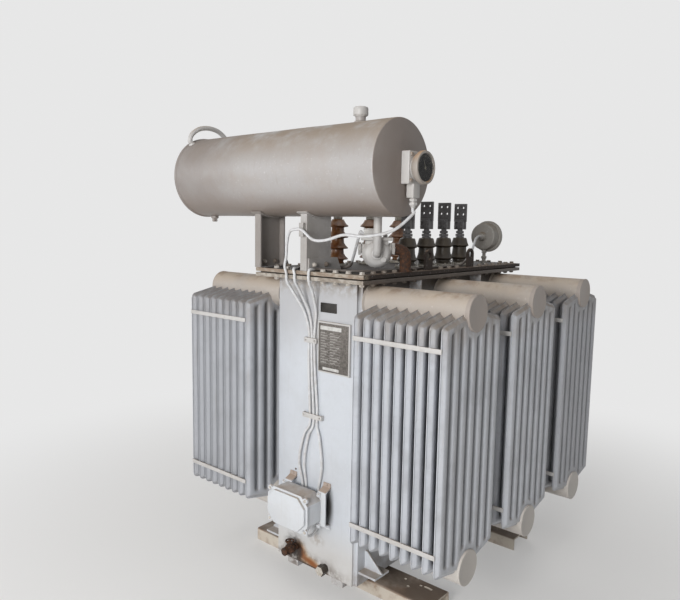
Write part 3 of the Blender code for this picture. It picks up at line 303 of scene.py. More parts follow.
def blot(tree, spot, middle, reach, lean=0.0):
    """A soft blot round a point: 1 at its middle and 0 at reach, which may differ by axis and lean
    about the Y axis."""
    laid = node(tree, "Mapping", {"Vector": spot, "Location": Vector(middle) + HERE, "Scale": reach,
                                  "Rotation": (0, math.radians(lean), 0)}, vector_type="TEXTURE")
    away = node(tree, "VectorMath", {0: laid.outputs[0]}, operation="LENGTH").outputs["Value"]
    return node(tree, "MapRange", {0: away, 1: 1.0, 2: 0.2}, interpolation_type="SMOOTHSTEP").outputs[0]


def paint_over(tree, shader, base, layers):
    """Lays tints over a base colour, each by its own mask, and gives the shader the result."""
    colour = linear(base)
    for tint, mask in layers:
        colour = node(tree, "Mix", {0: mask, 6: colour, 7: linear(tint)}, data_type="RGBA").outputs[2]
    tree.links.new(colour, shader.inputs["Base Color"])


def relief(tree, shader, spot, grains):
    """Fine unevenness: grains are (size in metres, height in metres), the coarsest first."""
    normal = None
    for size, height in grains:
        cloud = node(tree, "TexNoise", {"Vector": spot, "Scale": 1 / size, "Detail": 2.0})
        links = {"Height": cloud.outputs[0], "Distance": height, "Strength": 1.0}
        if normal is not None:
            links["Normal"] = normal
        normal = node(tree, "Bump", links).outputs[0]
    tree.links.new(normal, shader.inputs["Normal"])


def worn_enamel(name, base, dust, worn, worn_most=0.4, dust_most=0.9, dust_from=0.2, runs=0.3, rust=0.8,
                grime=None, extra=None, rough=0.42):
    """Alkyd enamel sprayed on welded steel: a satin coat with a light orange peel, chalked in
    hand-sized clouds, with dust on its tops, faint runs down its sides and pin-pricks of rust."""
    look, tree, shader, spot = new_look(name, rough)
    steep = facing_up(tree, 0.6, 0.1)
    layers = [
        # Chalking, in clouds a hand across, and rubbed marks a thumb across
        (worn, product(tree, clouds(tree, spot, 0.22, 0.42, 0.72), worn_most)),
        (worn, product(tree, clouds(tree, spot, 0.03, 0.5, 0.75, shift=3.1), 0.5 * worn_most)),
        ("#E4E5E6", product(tree, clouds(tree, spot, 0.012, 0.6, 0.75, shift=7.7), 0.25)),
        # Runs of dirty water, 15 mm wide and many times as long
        (dust, product(tree, clouds(tree, spot, 0.02, 0.55, 0.8, stretch=(1, 1, 0.06), shift=1.9),
                       steep, runs)),
    ]
    if grime:
        tint, top, most = grime
        layers.append((tint, product(tree, between(tree, spot, "Z", top, 0.1),
                                     clouds(tree, spot, 0.09, 0.3, 0.75, 5.0), most)))
    dusty = product(tree, facing_up(tree, dust_from, 0.9),
                    clouds(tree, spot, 0.16, 0.2, 0.6, 4.0, shift=5.3), dust_most)
    layers.append((dust, dusty))
    # Pin-pricks of rust where the coat is thin, 3 mm across and drawn at 6 to show
    layers.append(("#6E4426", product(tree, clouds(tree, spot, 0.006, 0.7, 0.76, shift=9.2),
                                      clouds(tree, spot, 0.25, 0.5, 0.65, shift=4.4), rust)))
    layers += extra(tree, spot) if extra else []
    paint_over(tree, shader, base, layers)
    # Dust is rougher than the coat under it
    rougher = node(tree, "MapRange", {0: dusty, 3: rough, 4: 0.85}).outputs[0]
    tree.links.new(rougher, shader.inputs["Roughness"])
    # Dents a hand across, then the orange peel, 2 mm across and drawn at 5 to show
    relief(tree, shader, spot, [(0.12, 0.0016), (0.005, 0.00012)])
    return look


# Stains and painted shade on the end wall, each over the last: tint, place across and up, half width,
# half height, lean in degrees, share, and whether its edge is torn
WALL_STAINS_AND_SHADE = (
    ("#5C4838", -0.05, 0.115, 0.4, 0.1, 0, 0.95, True),
    # The rusty streak from the valve down to the plug, with its pale rim
    ("#B89468", -0.09, 0.183, 0.09, 0.062, 54, 0.8, False),
    ("#B89468", -0.01, 0.142, 0.115, 0.04, 13, 0.8, False),
    ("#834816", -0.094, 0.183, 0.08, 0.042, 54, 0.95, False),
    ("#834816", -0.012, 0.14, 0.11, 0.027, 13, 0.95, False),
    # Soil along the bottom edge and round the valve
    ("#3A291D", -0.03, 0.1175, 0.16, 0.014, 0, 0.9, False),
    ("#241912", -0.14, 0.175, 0.115, 0.125, 0, 1.0, True),
    ("#241912", -0.14, 0.185, 0.075, 0.085, 0, 0.95, False),
    # Painted shade beside the junction box's strap, and a ragged darker patch under the box
    ("#2E2823", 0.108, 0.5, 0.045, 0.16, 0, 0.95, False),
    ("#96897B", 0.02, 0.29, 0.08, 0.05, 0, 0.55, True),
)


def wall_marks(tree, spot):
    """The tank's own stains, a yellowed foot, rust round the drain and dirt under the rim, and painted shade.
    """
    ragged = clouds(tree, spot, 0.03, 0.35, 0.6, 5.0, shift=2.2)
    front = between(tree, spot, "Y", FRONT + HERE.y + 0.02, FRONT + HERE.y + 0.004)
    rim = between(tree, spot, "Z", WALL_TOP - 0.0018, WALL_TOP + 0.0002)
    layers = [("#C6C3BF", product(tree, between(tree, spot, "Z", 0.46, 0.2), front, 0.75))]
    for tint, x, z, wide, tall, lean, share, torn in WALL_STAINS_AND_SHADE:
        stain = product(tree, blot(tree, spot, (x, FRONT, z), (wide, 0.1, tall), lean), front, share)
        layers.append((tint, product(tree, stain, ragged) if torn else stain))
    return layers + [
        ("#A8A6A6", product(tree, between(tree, spot, "Z", 1.2, 1.62), 0.6)),
        ("#8F8478", product(tree, between(tree, spot, "Z", 1.6, 1.7), ragged, 0.75)),
        ("#ADA599", product(tree, rim, 0.85)),
        ("#64564A", product(tree, rim, ragged, 0.6)),
        # Painted shade, with brown dust, on the faces that look towards +X under the cover's long edge
        ("#4A3F37", product(tree, facing(tree, "X", 0.4, 0.9), between(tree, spot, "Z", 1.6, 1.69), 0.9)),
        # Painted shade on every face that looks down
        ("#5B5048", product(tree, facing(tree, "Z", -0.4, -0.9), 0.8)),
        # A faint shade behind the cables
        ("#9A8F84", product(tree, blot(tree, spot, (0.0, FRONT, 1.42), (0.035, 0.1, 0.28)), front, 0.35)),
    ]


def drum_marks(tree, spot):
    """A duller left half, painted shade on the underside, and painted shade browned by dust on the flat right
    end.
    """
    cap = between(tree, spot, "X", DRUM_RIGHT + HERE.x - 0.005, DRUM_RIGHT + HERE.x - 0.002)
    dull = clouds(tree, spot, 0.11, 0.2, 0.8, 4.0, shift=6.1)
    under = facing_up(tree, -0.3, -0.95)
    return [
        ("#88817D", product(tree, between(tree, spot, "X", -0.25, -0.85), 0.7)),
        ("#7A6F67", product(tree, between(tree, spot, "X", -0.2, -0.7), dull, 0.4)),
        # Painted shade on the faces that look down
        ("#7E7066", product(tree, under, 0.8)),
        # Painted shade, browned by dust, over the flat right end
        ("#857A73", product(tree, cap, 0.92)),
        ("#776C65", product(tree, cap, dull, 0.5)),
        ("#C9C4BF", product(tree, cap, between(tree, spot, "Y", DRUM_Y + 0.02, DRUM_Y - 0.22), dull, 0.25)),
    ]


def strap_marks(tree, spot):
    """Brown dust on the junction straps' bent upper ends."""
    return [("#A08C7C", product(tree, between(tree, spot, "Z", BOX_TOP + 0.004, BOX_TOP + 0.012), 0.85))]


def plug_marks(tree, spot):
    """Grease-brown sides round the plug's clean end."""
    return [("#33291F", product(tree, facing(tree, "Y", -0.85, -0.6), 0.97))]


def bolt_marks(tree, spot):
    """The bolts behind the first row are as brown as the cover."""
    back = product(tree, between(tree, spot, "Y", HERE.y - COVER_Y + 0.06, HERE.y - COVER_Y + 0.1),
                   between(tree, spot, "Z", 1.6, 1.68))
    return [("#5E5043", product(tree, back, 0.8))]


def support_marks(tree, spot):
    """The left support is the dirtier of the two."""
    return [("#7F7771", product(tree, between(tree, spot, "X", -0.2, -0.3), 0.7))]


def cover_marks(tree, spot):
    """Brown dust along the bolt row, and cream paint with rust in it on the edge over the end wall."""
    edge = between(tree, spot, "Y", HERE.y - COVER_Y + 0.004, HERE.y - COVER_Y + 0.001)
    ragged = clouds(tree, spot, 0.02, 0.3, 0.6, 5.0, stretch=(0.5, 1, 1), shift=2.6)
    return [
        ("#9C9080", product(tree, between(tree, spot, "Y", HERE.y - COVER_Y + 0.06, HERE.y - COVER_Y + 0.02),
                            between(tree, spot, "X", 0.02, 0.12), ragged, 0.8)),
        ("#7A6552", product(tree, between(tree, spot, "X", HERE.x + 0.29, HERE.x + 0.32), ragged,
                            facing_up(tree, 0.5, 0.9), 0.65)),
        ("#B1A99C", product(tree, edge, 0.9)),
        ("#6E5340", product(tree, edge, ragged, 0.65)),
    ]


def base_marks(tree, spot):
    """Cream paint left on the upright faces of the channels."""
    upright = facing_up(tree, 0.4, 0.05)
    return [("#CFC7BA", product(tree, upright, clouds(tree, spot, 0.07, 0.25, 0.55, 4.0, shift=3.3), 0.8))]


def radiator_marks(tree, spot):
    """Painted shade and dirt in the grooves, and brown dust washed down from the headers over the panels'
    upper ends.
    """
    ragged = clouds(tree, spot, 0.05, 0.25, 0.7, 4.0, stretch=(1, 1, 0.3), shift=5.9)
    groove = node(tree, "Attribute", attribute_name="groove").outputs["Fac"]
    return [
        # Painted shade and dirt, darkest where a groove is deepest
        ("#66676B", product(tree, groove, 0.85)),
        ("#8E8277", product(tree, between(tree, spot, "Z", 1.36, 1.6), ragged, 0.75)),
        # The left side and the far end are duller than the near right side
        ("#909195", product(tree, between(tree, spot, "X", -0.2, -0.5), 0.5)),
        ("#86868A", product(tree, between(tree, spot, "Y", 0.1, 0.6), 0.45)),
    ]


def header_marks(tree, spot):
    """Rust-brown stains along the tops, dust on the upper flat ends, and cleaner lower headers."""
    across = node(tree, "SeparateXYZ", {0: spot}).outputs["X"]
    far = node(tree, "Math", {0: across}, operation="ABSOLUTE").outputs[0]
    cap = node(tree, "MapRange", {0: far, 1: 0.885, 2: 0.888}).outputs[0]
    stain = product(tree, facing_up(tree, 0.5, 0.95), clouds(tree, spot, 0.07, 0.4, 0.65, 5.0, shift=8.3))
    return [("#8A6F58", product(tree, stain, 0.6)),
            ("#A0968F", product(tree, cap, between(tree, spot, "Z", 0.8, 1.2), 0.8)),
            ("#CDC8C2", product(tree, between(tree, spot, "Z", 1.2, 0.8), 0.75))]


# Blue-grey enamel of the tank: satin, little chalked, soiled at its foot
WALL_ENAMEL = worn_enamel("worn_enamel_on_tank", "#C8CCD2", "#9A8D80", "#B9BBBE", 0.35, dust_most=0.8,
                          runs=0.12, rust=0.5, grime=("#7D6A59", 0.3, 0.9), extra=wall_marks)
# The drum stands highest and keeps most dust: warm grey, browner above, darker below with painted shade
DRUM_ENAMEL = worn_enamel("dusty_enamel_on_conservator", "#A8A5A4", "#8F8172", "#A1978F", 0.55,
                          dust_most=0.95, dust_from=0.0, runs=0.25, rust=0.5, extra=drum_marks)
# Thin pressed sheet: cool grey, with dust on its slopes and dirt and painted shade in its grooves
RADIATOR_ENAMEL = worn_enamel("worn_enamel_on_radiators", "#C9CCD2", "#9C8F82", "#9FA0A4", dust_most=0.95,
                              dust_from=0.1, runs=0.35, grime=("#8B8179", 0.5, 0.5), extra=radiator_marks)
# Round pipes catch dust all along their backs: cream over grey
HEADER_ENAMEL = worn_enamel("worn_enamel_on_headers", "#AFA79F", "#BCAE9E", "#A79B90", 0.5, dust_most=0.95,
                            dust_from=0.0, extra=header_marks)
# Castings and straps: a thicker coat that has warmed a little
FITTING_ENAMEL = worn_enamel("worn_enamel_on_fittings", "#C2C0BE", "#A29485", "#ADA8A2", 0.5,
                             dust_most=0.85, dust_from=0.3, runs=0.2, rust=0.7)
# The gauge's case has tanned in the sun, and its flange has yellowed a little
CASE_ENAMEL = worn_enamel("tanned_enamel_on_gauge_case", "#A39B93", "#B28D68", "#978F87", 0.5,
                          dust_from=0.1, runs=0.1)
GAUGE_ENAMEL = worn_enamel("enamel_on_gauge", "#BFBDBB", "#A6937F", "#BDB8B2", runs=0.1)
# The supports stand in the drip of the drum: grey with brown runs
SUPPORT_ENAMEL = worn_enamel("worn_enamel_on_supports", "#AFACAA", "#A0948A", "#948F8A", 0.55,
                             dust_most=0.8, runs=0.4, extra=support_marks)
# The thermometer's coat is dull under old grime
DULL_ENAMEL = worn_enamel("grimy_enamel_on_thermometer", "#918D87", "#746859", "#857E77", 0.5)
# Oil and dust have baked on the cover: almost black-brown and quite matt
COVER_PAINT = worn_enamel("grimy_enamel_on_cover", "#2A1F18", "#1F1610", "#1C140F", 0.9, dust_most=0.97,
                          dust_from=0.3, runs=0.4, rust=1.0, extra=cover_marks, rough=0.8)
# Base channels: cream enamel worn down to rust where feet and water reach it
BASE_PAINT = worn_enamel("rusty_enamel_on_base", "#B0A599", "#6F6155", "#8C6C52", 0.8, runs=0.5, rust=1.0,
                         extra=base_marks, rough=0.65)


def junction_enamel(name, extra=None):
    """The junction box's coat is newer and cleaner than the tank's: pale, satin, dusty on top."""
    return worn_enamel(name, "#D0D3D7", "#AC9F93", "#C4C3C2", dust_most=1.0, dust_from=0.3, runs=0.15,
                       rust=0.4, extra=extra)


LID_ENAMEL = junction_enamel("cleaner_enamel_on_junction_box")
STRAP_ENAMEL = junction_enamel("enamel_on_junction_straps", strap_marks)


def sheath_marks(tree, spot):
    """Brown grime on the stretches that lie on the cover."""
    deck = product(tree, between(tree, spot, "Z", COVER_TOP + 0.06, COVER_TOP + 0.03),
                   between(tree, spot, "Z", COVER_TOP - 0.02, COVER_TOP - 0.01),
                   between(tree, spot, "Y", HERE.y - COVER_Y, HERE.y - COVER_Y + 0.03))
    return [("#4A3F36", product(tree, deck, 0.92))]


def plain_look(name, base, worn, roughness, metallic=0.0, size=0.02, most=0.6, grain=0.00015,
               grain_size=0.004, extra=None):
    """A surface with one wear tint in small clouds and a fine grain."""
    look, tree, shader, spot = new_look(name, roughness, metallic)
    layers = [(worn, product(tree, clouds(tree, spot, size, 0.35, 0.7, 5.0), most))]
    layers += extra(tree, spot) if extra else []
    paint_over(tree, shader, base, layers)
    relief(tree, shader, spot, [(grain_size, grain)])
    return look


# Zinc-plated steel gone dull under dust: grey with brown clouds
ZINC = plain_look("dull_zinc_plate", "#9B9890", "#6F6252", 0.5, 0.6)
# Bolt heads painted over with the tank and rubbed since: pale, with brown showing through
BOLT_PAINT = plain_look("painted_bolts", "#CFCBC4", "#857260", 0.55, size=0.012, extra=bolt_marks)
# The drain plug: painted end, greasy sides
PLUG_PAINT = plain_look("greasy_painted_plug", "#BFBAB1", "#8A7765", 0.5, size=0.014, extra=plug_marks)
# Rusted cast iron of the drain: dark brown with orange bloom, pitted and matt
RUST = plain_look("rusted_cast_iron", "#2C1F18", "#6E4426", 0.85, size=0.014, most=0.55, grain=0.0008)
# Moulded nitrile rubber pressed under the cover: black and matt, browned by dust
RUBBER = plain_look("nitrile_gasket", "#17130F", "#3A2C22", 0.9)
# Extruded PVC sheath, sprayed over with the tank: smooth, pale and a little chalky
SHEATH = plain_look("painted_pvc_sheath", "#D2D3D5", "#B1ACA6", 0.5, 0.0, 0.03, 0.5, 0.0002, 0.006,
                    sheath_marks)
# Fired glazes on porcelain: deep colour under a hard gloss, dulled by a film of dust
OLIVE_GLAZE = plain_look("olive_glazed_porcelain", "#2C2318", "#4A3F2C", 0.42, 0.0, 0.03, 0.5, 0.0001)
BROWN_GLAZE = plain_look("amber_brown_glazed_porcelain", "#6A3F20", "#96714A", 0.28, 0.0, 0.03, 0.5,
                         0.0001)
# Moulded phenolic of the small plate: near black and satin, greyed by dust
DARK_PLASTIC = plain_look("black_phenolic", "#1A1815", "#332E28", 0.5)
# Matt card behind the gauge's glass: it gives back almost no light
DIAL_BLACK = plain_look("matt_black_dial_card", "#0A0908", "#171512", 0.95)
# Tinned copper left in the weather: a weak grey sheen broken by brown
TARNISH = plain_look("tarnished_tinned_palm", "#6A696A", "#46413E", 0.5, 0.3, most=0.5)
# Printed dial card, its black ink, and the gauge's own print, faded under dust: all flat
DIAL_FACE = plain_look("printed_dial_face", "#C9C4B6", "#A89F8C", 0.5, most=0.3)
DIAL_PRINT = plain_look("dial_print", "#211D19", "#39322B", 0.5)
DIM_PRINT = plain_look("faded_dial_print", "#7D7768", "#57503F", 0.6)
# Paint rubbed into the plate's engraving: pale, flat and worn thin, whiter in the wide fields
PALE_FILL = plain_look("pale_engraving_fill", "#A9A6A2", "#8A857F", 0.6)
WHITE_FILL = plain_look("white_engraving_fill", "#C9C8C5", "#A5A29D", 0.6)
# Etched aluminium of the rating plate: dull grey metal, stained in spots a fingertip across
PLATE_METAL = plain_look("etched_aluminium_plate", "#736E69", "#4F4A46", 0.45, 0.5, 0.01, 0.8)
# Dial glass under a film of dust: it mirrors far less than clean glass
GLASS, _, GLASS_SHADER, _ = new_look("dusty_dial_glass", 0.06, ior=1.14)
GLASS_SHADER.inputs["Transmission Weight"].default_value = 1.0


# Camera at the photograph's angle: turn from +Y, dip below level and roll are in degrees
CAMERA_SPOT, CAMERA_LENS = (2.2797, -3.1693, 1.9963), 33.897
CAMERA_TURN, CAMERA_DIP, CAMERA_ROLL = 40.63, 6.73, 0.93
CAMERA = place_object("camera", bpy.data.cameras.new("camera"))
CAMERA.data.lens = CAMERA_LENS
CAMERA.data.sensor_width = 36.0
CAMERA.matrix_world = (Matrix.Translation(CAMERA_SPOT)
                       @ Matrix.Rotation(math.radians(CAMERA_TURN), 4, "Z")
                       @ Matrix.Rotation(math.radians(90 - CAMERA_DIP), 4, "X")
                       @ Matrix.Rotation(math.radians(CAMERA_ROLL), 4, "Z"))
bpy.context.scene.camera = CAMERA


# Radiators
PANELS, PANEL_PITCH = 9, 0.0597
PANEL_HALF, PANEL_CREST, SEAM_HALF = 0.26, 0.0155, 0.0015
FLUTES, FLUTE_PITCH, SEAM_FLANGE = 7, 0.074, 0.006
# How far the flutes stay from the panel's ends and the headers, and the width in which they fade
FLUTE_END, FLUTE_CLEAR, FLUTE_FADE = 0.04, 0.105, 0.022
# A groove's half floor, the width of its side, its share of the crest, and the crown between grooves
GROOVE_FLOOR, GROOVE_SIDE, GROOVE_DEEP, CROWN = 0.0085, 0.012, 0.88, 0.05
GROOVE_STEPS = (0.008, 0.0105, 0.0145, 0.0185, 0.021)
# The sloping shoulders' rise, width and drop at a panel's ends, and the radius of its corners
SHOULDER_RISE, SHOULDER_WIDE, SHOULDER_DROP, PANEL_CORNER = 0.04, 0.19, 0.037, 0.025
# The pressed edge rises over this width
NOSE = 0.017
NOSE_STEPS = (0, 0.002, 0.0055, 0.0115, 0.015, 0.017)
HEADER_LOW, HEADER_HIGH, HEADER_RADIUS = 0.4113, 1.6113, 0.084
PANEL_FIRST = TANK_X + 0.089
PANEL_LAST = PANEL_FIRST + (PANELS - 1) * PANEL_PITCH
RADIATOR_SPACING = 0.65


def ease(value):
    """0 to 1 with soft ends."""
    value = min(max(value, 0.0), 1.0)
    return value * value * (3 - 2 * value)


def pressed_slope(share):
    """A straight pressed side from 0 to 1, with a small round at both ends."""
    share = min(max(share, 0.0), 1.0)
    return 0.65 * share + 0.35 * ease(share)


def nose(distance):
    """How far the sheet has risen from its seam: 0 at the flange, 1 past the nose."""
    return pressed_slope((distance - SEAM_FLANGE) / NOSE)


def panel_columns():
    """Where the panel's columns lie across it, with the share of a groove's depth at each."""
    edge = [-PANEL_HALF, *[SEAM_FLANGE - PANEL_HALF + step for step in NOSE_STEPS]]
    columns = [(across, 0.0) for across in edge]
    for k in range(FLUTES - 1):
        valley = (k - (FLUTES - 2) / 2) * FLUTE_PITCH
        for offset in [-step for step in reversed(GROOVE_STEPS)] + list(GROOVE_STEPS):
            share = 1 - pressed_slope((abs(offset) - GROOVE_FLOOR) / GROOVE_SIDE)
            columns.append((valley + offset, share))
        if k < FLUTES - 2:
            columns.append((valley + FLUTE_PITCH / 2, 0.0))
    return columns + [(-across, 0.0) for across in reversed(edge)]


def panel_edge(across, way):
    """The height of the panel's lower or upper edge: sloping shoulders and rounded corners."""
    level = HEADER_HIGH if way > 0 else HEADER_LOW
    from_side = PANEL_HALF - abs(across)
    rise = SHOULDER_RISE * min(from_side / SHOULDER_WIDE, 1.0) - SHOULDER_DROP
    inset = max(PANEL_CORNER - from_side, 0.0)
    return level + way * (rise - (PANEL_CORNER - math.sqrt(PANEL_CORNER ** 2 - inset ** 2)))


def fluted_share(across, height, to_edge):
    """1 where the flutes run, fading to 0 towards the panel's ends and its headers."""
    to_header = min(math.hypot(across, height - HEADER_LOW), math.hypot(across, height - HEADER_HIGH))
    return ease(min(to_edge - FLUTE_END, to_header - FLUTE_CLEAR) / FLUTE_FADE)


def panel_depth(across, groove, height, to_edge):
    """How far the pressed sheet stands out from the panel's middle plane."""
    fluted = fluted_share(across, height, to_edge)
    crown = 1 + CROWN * math.cos(2 * math.pi * across / FLUTE_PITCH) * fluted
    pressed = min(nose(PANEL_HALF - abs(across)), nose(to_edge)) * (crown - CROWN)
    return SEAM_HALF + PANEL_CREST * max(pressed - groove * fluted * GROOVE_DEEP, 0.0)


PANEL_ROWS = (0, *[SEAM_FLANGE + step for step in NOSE_STEPS], 0.04, 0.047, 0.055, 0.062, 0.08, 0.1, 0.108,
              0.116, 0.124, 0.135)


def panel_grid():
    """One panel's (across, height, depth, groove) points, row by row from the bottom."""
    grid = []
    places = [(row, -1) for row in PANEL_ROWS] + [(0.5, 0)]
    places += [(row, 1) for row in reversed(PANEL_ROWS)]
    for distance, way in places:
        line = []
        for across, groove in panel_columns():
            low, high = panel_edge(across, -1), panel_edge(across, 1)
            height = {-1: low + distance, 0: low + (high - low) * distance, 1: high - distance}[way]
            to_edge = min(height - low, high - height)
            line.append((across, height, panel_depth(across, groove, height, to_edge),
                         groove * fluted_share(across, height, to_edge)))
        grid.append(line)
    return grid


PANEL_GRID = panel_grid()


def make_panels(name, side, y, node_name):
    """The nine fluted panels of a radiator, each of two pressed sheets welded at a thin seam."""
    points, faces = [], []
    rows, columns = len(PANEL_GRID), len(PANEL_GRID[0])
    # A sheet's outline, once round
    rim = list(range(columns))
    rim += [row * columns + columns - 1 for row in range(1, rows)]
    rim += [(rows - 1) * columns + column for column in range(columns - 2, -1, -1)]
    rim += [row * columns for row in range(rows - 2, 0, -1)]
    for k in range(PANELS):
        x = PANEL_FIRST + k * PANEL_PITCH
        for sheet in (-1, 1):
            start = len(points)
            points += [(side * (x + sheet * depth) + HERE.x, y + side * across + HERE.y, height)
                       for line in PANEL_GRID for across, height, depth, _ in line]
            for row in range(rows - 1):
                for column in range(columns - 1):
                    a = start + row * columns + column
                    corners = (a, a + 1, a + columns + 1, a + columns)
                    faces.append(corners if sheet > 0 else corners[::-1])
        other = start - rows * columns
        for a, b in zip(rim, rim[1:] + rim[:1]):
            faces.append((start + b, start + a, other + a, other + b))
    data = bpy.data.meshes.new(name)
    data.from_pydata(points, [], faces)
    # The paint's dirt and painted shade read from this where the grooves are
    grooves = [groove for line in PANEL_GRID for *_, groove in line] * (2 * PANELS)
    data.attributes.new("groove", "FLOAT", "POINT").data.foreach_set("value", grooves)
    mount_piece(name, data, RADIATOR_ENAMEL, [node_name], 50)


def make_radiator(side, word, number):
    """Panels, header pipes and straps of one radiator."""
    y = (number - 2) * RADIATOR_SPACING
    make_panels(f"panels_{word}_{number}", side, y, f"radiator_{word}_{number}")
    end = PANEL_LAST + 0.03 - TANK_X
    # Weld to the wall, then the pipe, then its flat end with the weld round it
    profile = [(0.0004, 0.093), (0.003, 0.093), (0.01, HEADER_RADIUS), (0.25, HEADER_RADIUS),
               (end - 0.008, HEADER_RADIUS), (end - 0.007, HEADER_RADIUS + 0.0015),
               (end - 0.003, HEADER_RADIUS + 0.001), (end - 0.0012, HEADER_RADIUS - 0.0025),
               (end - 0.002, HEADER_RADIUS - 0.006), (end - 0.002, 0)]
    headers = bmesh.new()
    for level in (HEADER_LOW, HEADER_HIGH):
        add_turned(headers, profile, (side * TANK_X, y, level), (side, 0, 0), 64)
    piece(f"headers_{word}_{number}", headers, HEADER_ENAMEL, "radiator_paint")
    # Flat bars welded across the panels' edges
    straps, half = bmesh.new(), 0.011
    for level in (HEADER_LOW + 0.14, HEADER_HIGH - 0.142):
        for edge in (-1, 1):
            ys = sorted((y + edge * (PANEL_HALF - 0.002), y + edge * (PANEL_HALF + 0.0045)))
            xs = sorted((side * (PANEL_FIRST - 0.004), side * (PANEL_LAST + 0.004)))
            add_box(straps, (xs[0], ys[0], level - half), (xs[1], ys[1], level + half), 0.0012)
    piece(f"straps_{word}_{number}", straps, FITTING_ENAMEL, "radiator_paint")


for SIDE, WORD in ((1, "right"), (-1, "left")):
    for NUMBER in (1, 2, 3):
        make_radiator(SIDE, WORD, NUMBER)


# Conservator

def make_drum():
    """The rolled shell with its rimmed left end, flat right end, filler neck, sump and filler cap."""
    shape = bmesh.new()
    r, length = DRUM_RADIUS, DRUM_RIGHT - DRUM_LEFT
    profile = [(0.004, 0), (0.004, r - 0.012), (0.002, r - 0.01), (0, r - 0.005), (0, r + 0.002),
               (0.002, r + 0.005), (0.012, r + 0.005), (0.015, r + 0.002), (0.0165, r)]
    steps = 22
    profile += [(0.0165 + (length - 0.03) * k / steps, r) for k in range(1, steps)]
    profile += [(length - 0.012, r), (length - 0.006, r - 0.0005), (length - 0.002, r - 0.003),
                (length, r - 0.008), (length, 0)]
    add_turned(shape, profile, (DRUM_LEFT, DRUM_Y, DRUM_Z), (1, 0, 0), 96)
    # A rolled shell is never quite true: waves under a millimetre high bend its highlights
    for corner in shape.verts:
        if DRUM_LEFT + 0.05 < corner.co.x < DRUM_RIGHT - 0.05:
            out = Vector((0, corner.co.y - DRUM_Y, corner.co.z - DRUM_Z)).normalized()
            turn = math.atan2(out.z, out.y)
            wave = math.sin(7 * corner.co.x + 2 * turn) + math.sin(11 * corner.co.x - 3 * turn + 1)
            corner.co += out * 0.0006 * wave
    filler = (DRUM_RIGHT - 0.254, DRUM_Y, DRUM_Z + r)
    add_turned(shape, [(-0.01, 0.034), (0.002, 0.031), (0.005, 0.025), (0.03, 0.025)], filler)
    sump, down = (DRUM_LEFT + 0.08, DRUM_Y, DRUM_Z - r + 0.006), (0, 0, -1)
    add_turned(shape, [(0, 0.022), (0.018, 0.022), (0.019, 0.019)], sump, down)
    add_turned(shape, [(0.018, 0.016), (0.036, 0.016), (0.039, 0.013)], sump, down, 6, 0.4)
    piece("conservator_drum", shape, DRUM_ENAMEL, "tank_paint", "conservator")
    turned_piece("conservator_filler_cap", [
        (0.024, 0.028), (0.026, 0.03), (0.029, 0.03), (0.03, 0.035), (0.034, 0.0365), (0.062, 0.0365),
        (0.068, 0.034), (0.0705, 0.029), (0.0715, 0.017), (0.072, 0)],
        filler, (0, 0, 1), 24, FITTING_ENAMEL, "tank_paint")


def make_eye():
    """The round-bar eye across the top of the conservator, welded at both feet."""
    arch = ((1, 0), (1, 0.012), (1, 0.024), (0.82, 0.046), (0.5, 0.06), (0.25, 0.0645), (0, 0.066))
    swing = 2 * math.pi * 3 / 32
    x = DRUM_LEFT + 0.03

    def spot(share, off):
        """A point above the shell: share of the arch's swing from its middle, and height over it."""
        reach = DRUM_RADIUS + off
        return Vector((x, DRUM_Y - reach * math.sin(share * swing), DRUM_Z + reach * math.cos(share * swing)))

    shape = bmesh.new()
    route = [spot(share, off) for share, off in arch] + [spot(-share, off) for share, off in arch[-2::-1]]
    add_tube(shape, smooth_route(route, 4), 0.0135, 24)
    for share in (-1, 1):
        foot = spot(share, -0.001)
        add_turned(shape, [(-0.003, 0.02), (0.002, 0.0195), (0.006, 0.016), (0.009, 0.0132)], foot,
                   spot(share, 0.01) - foot, 28)
    piece("conservator_lifting_eye", shape, FITTING_ENAMEL, "tank_paint", "conservator_eye", angle=60)


make_drum()
make_eye()


# Level gauge

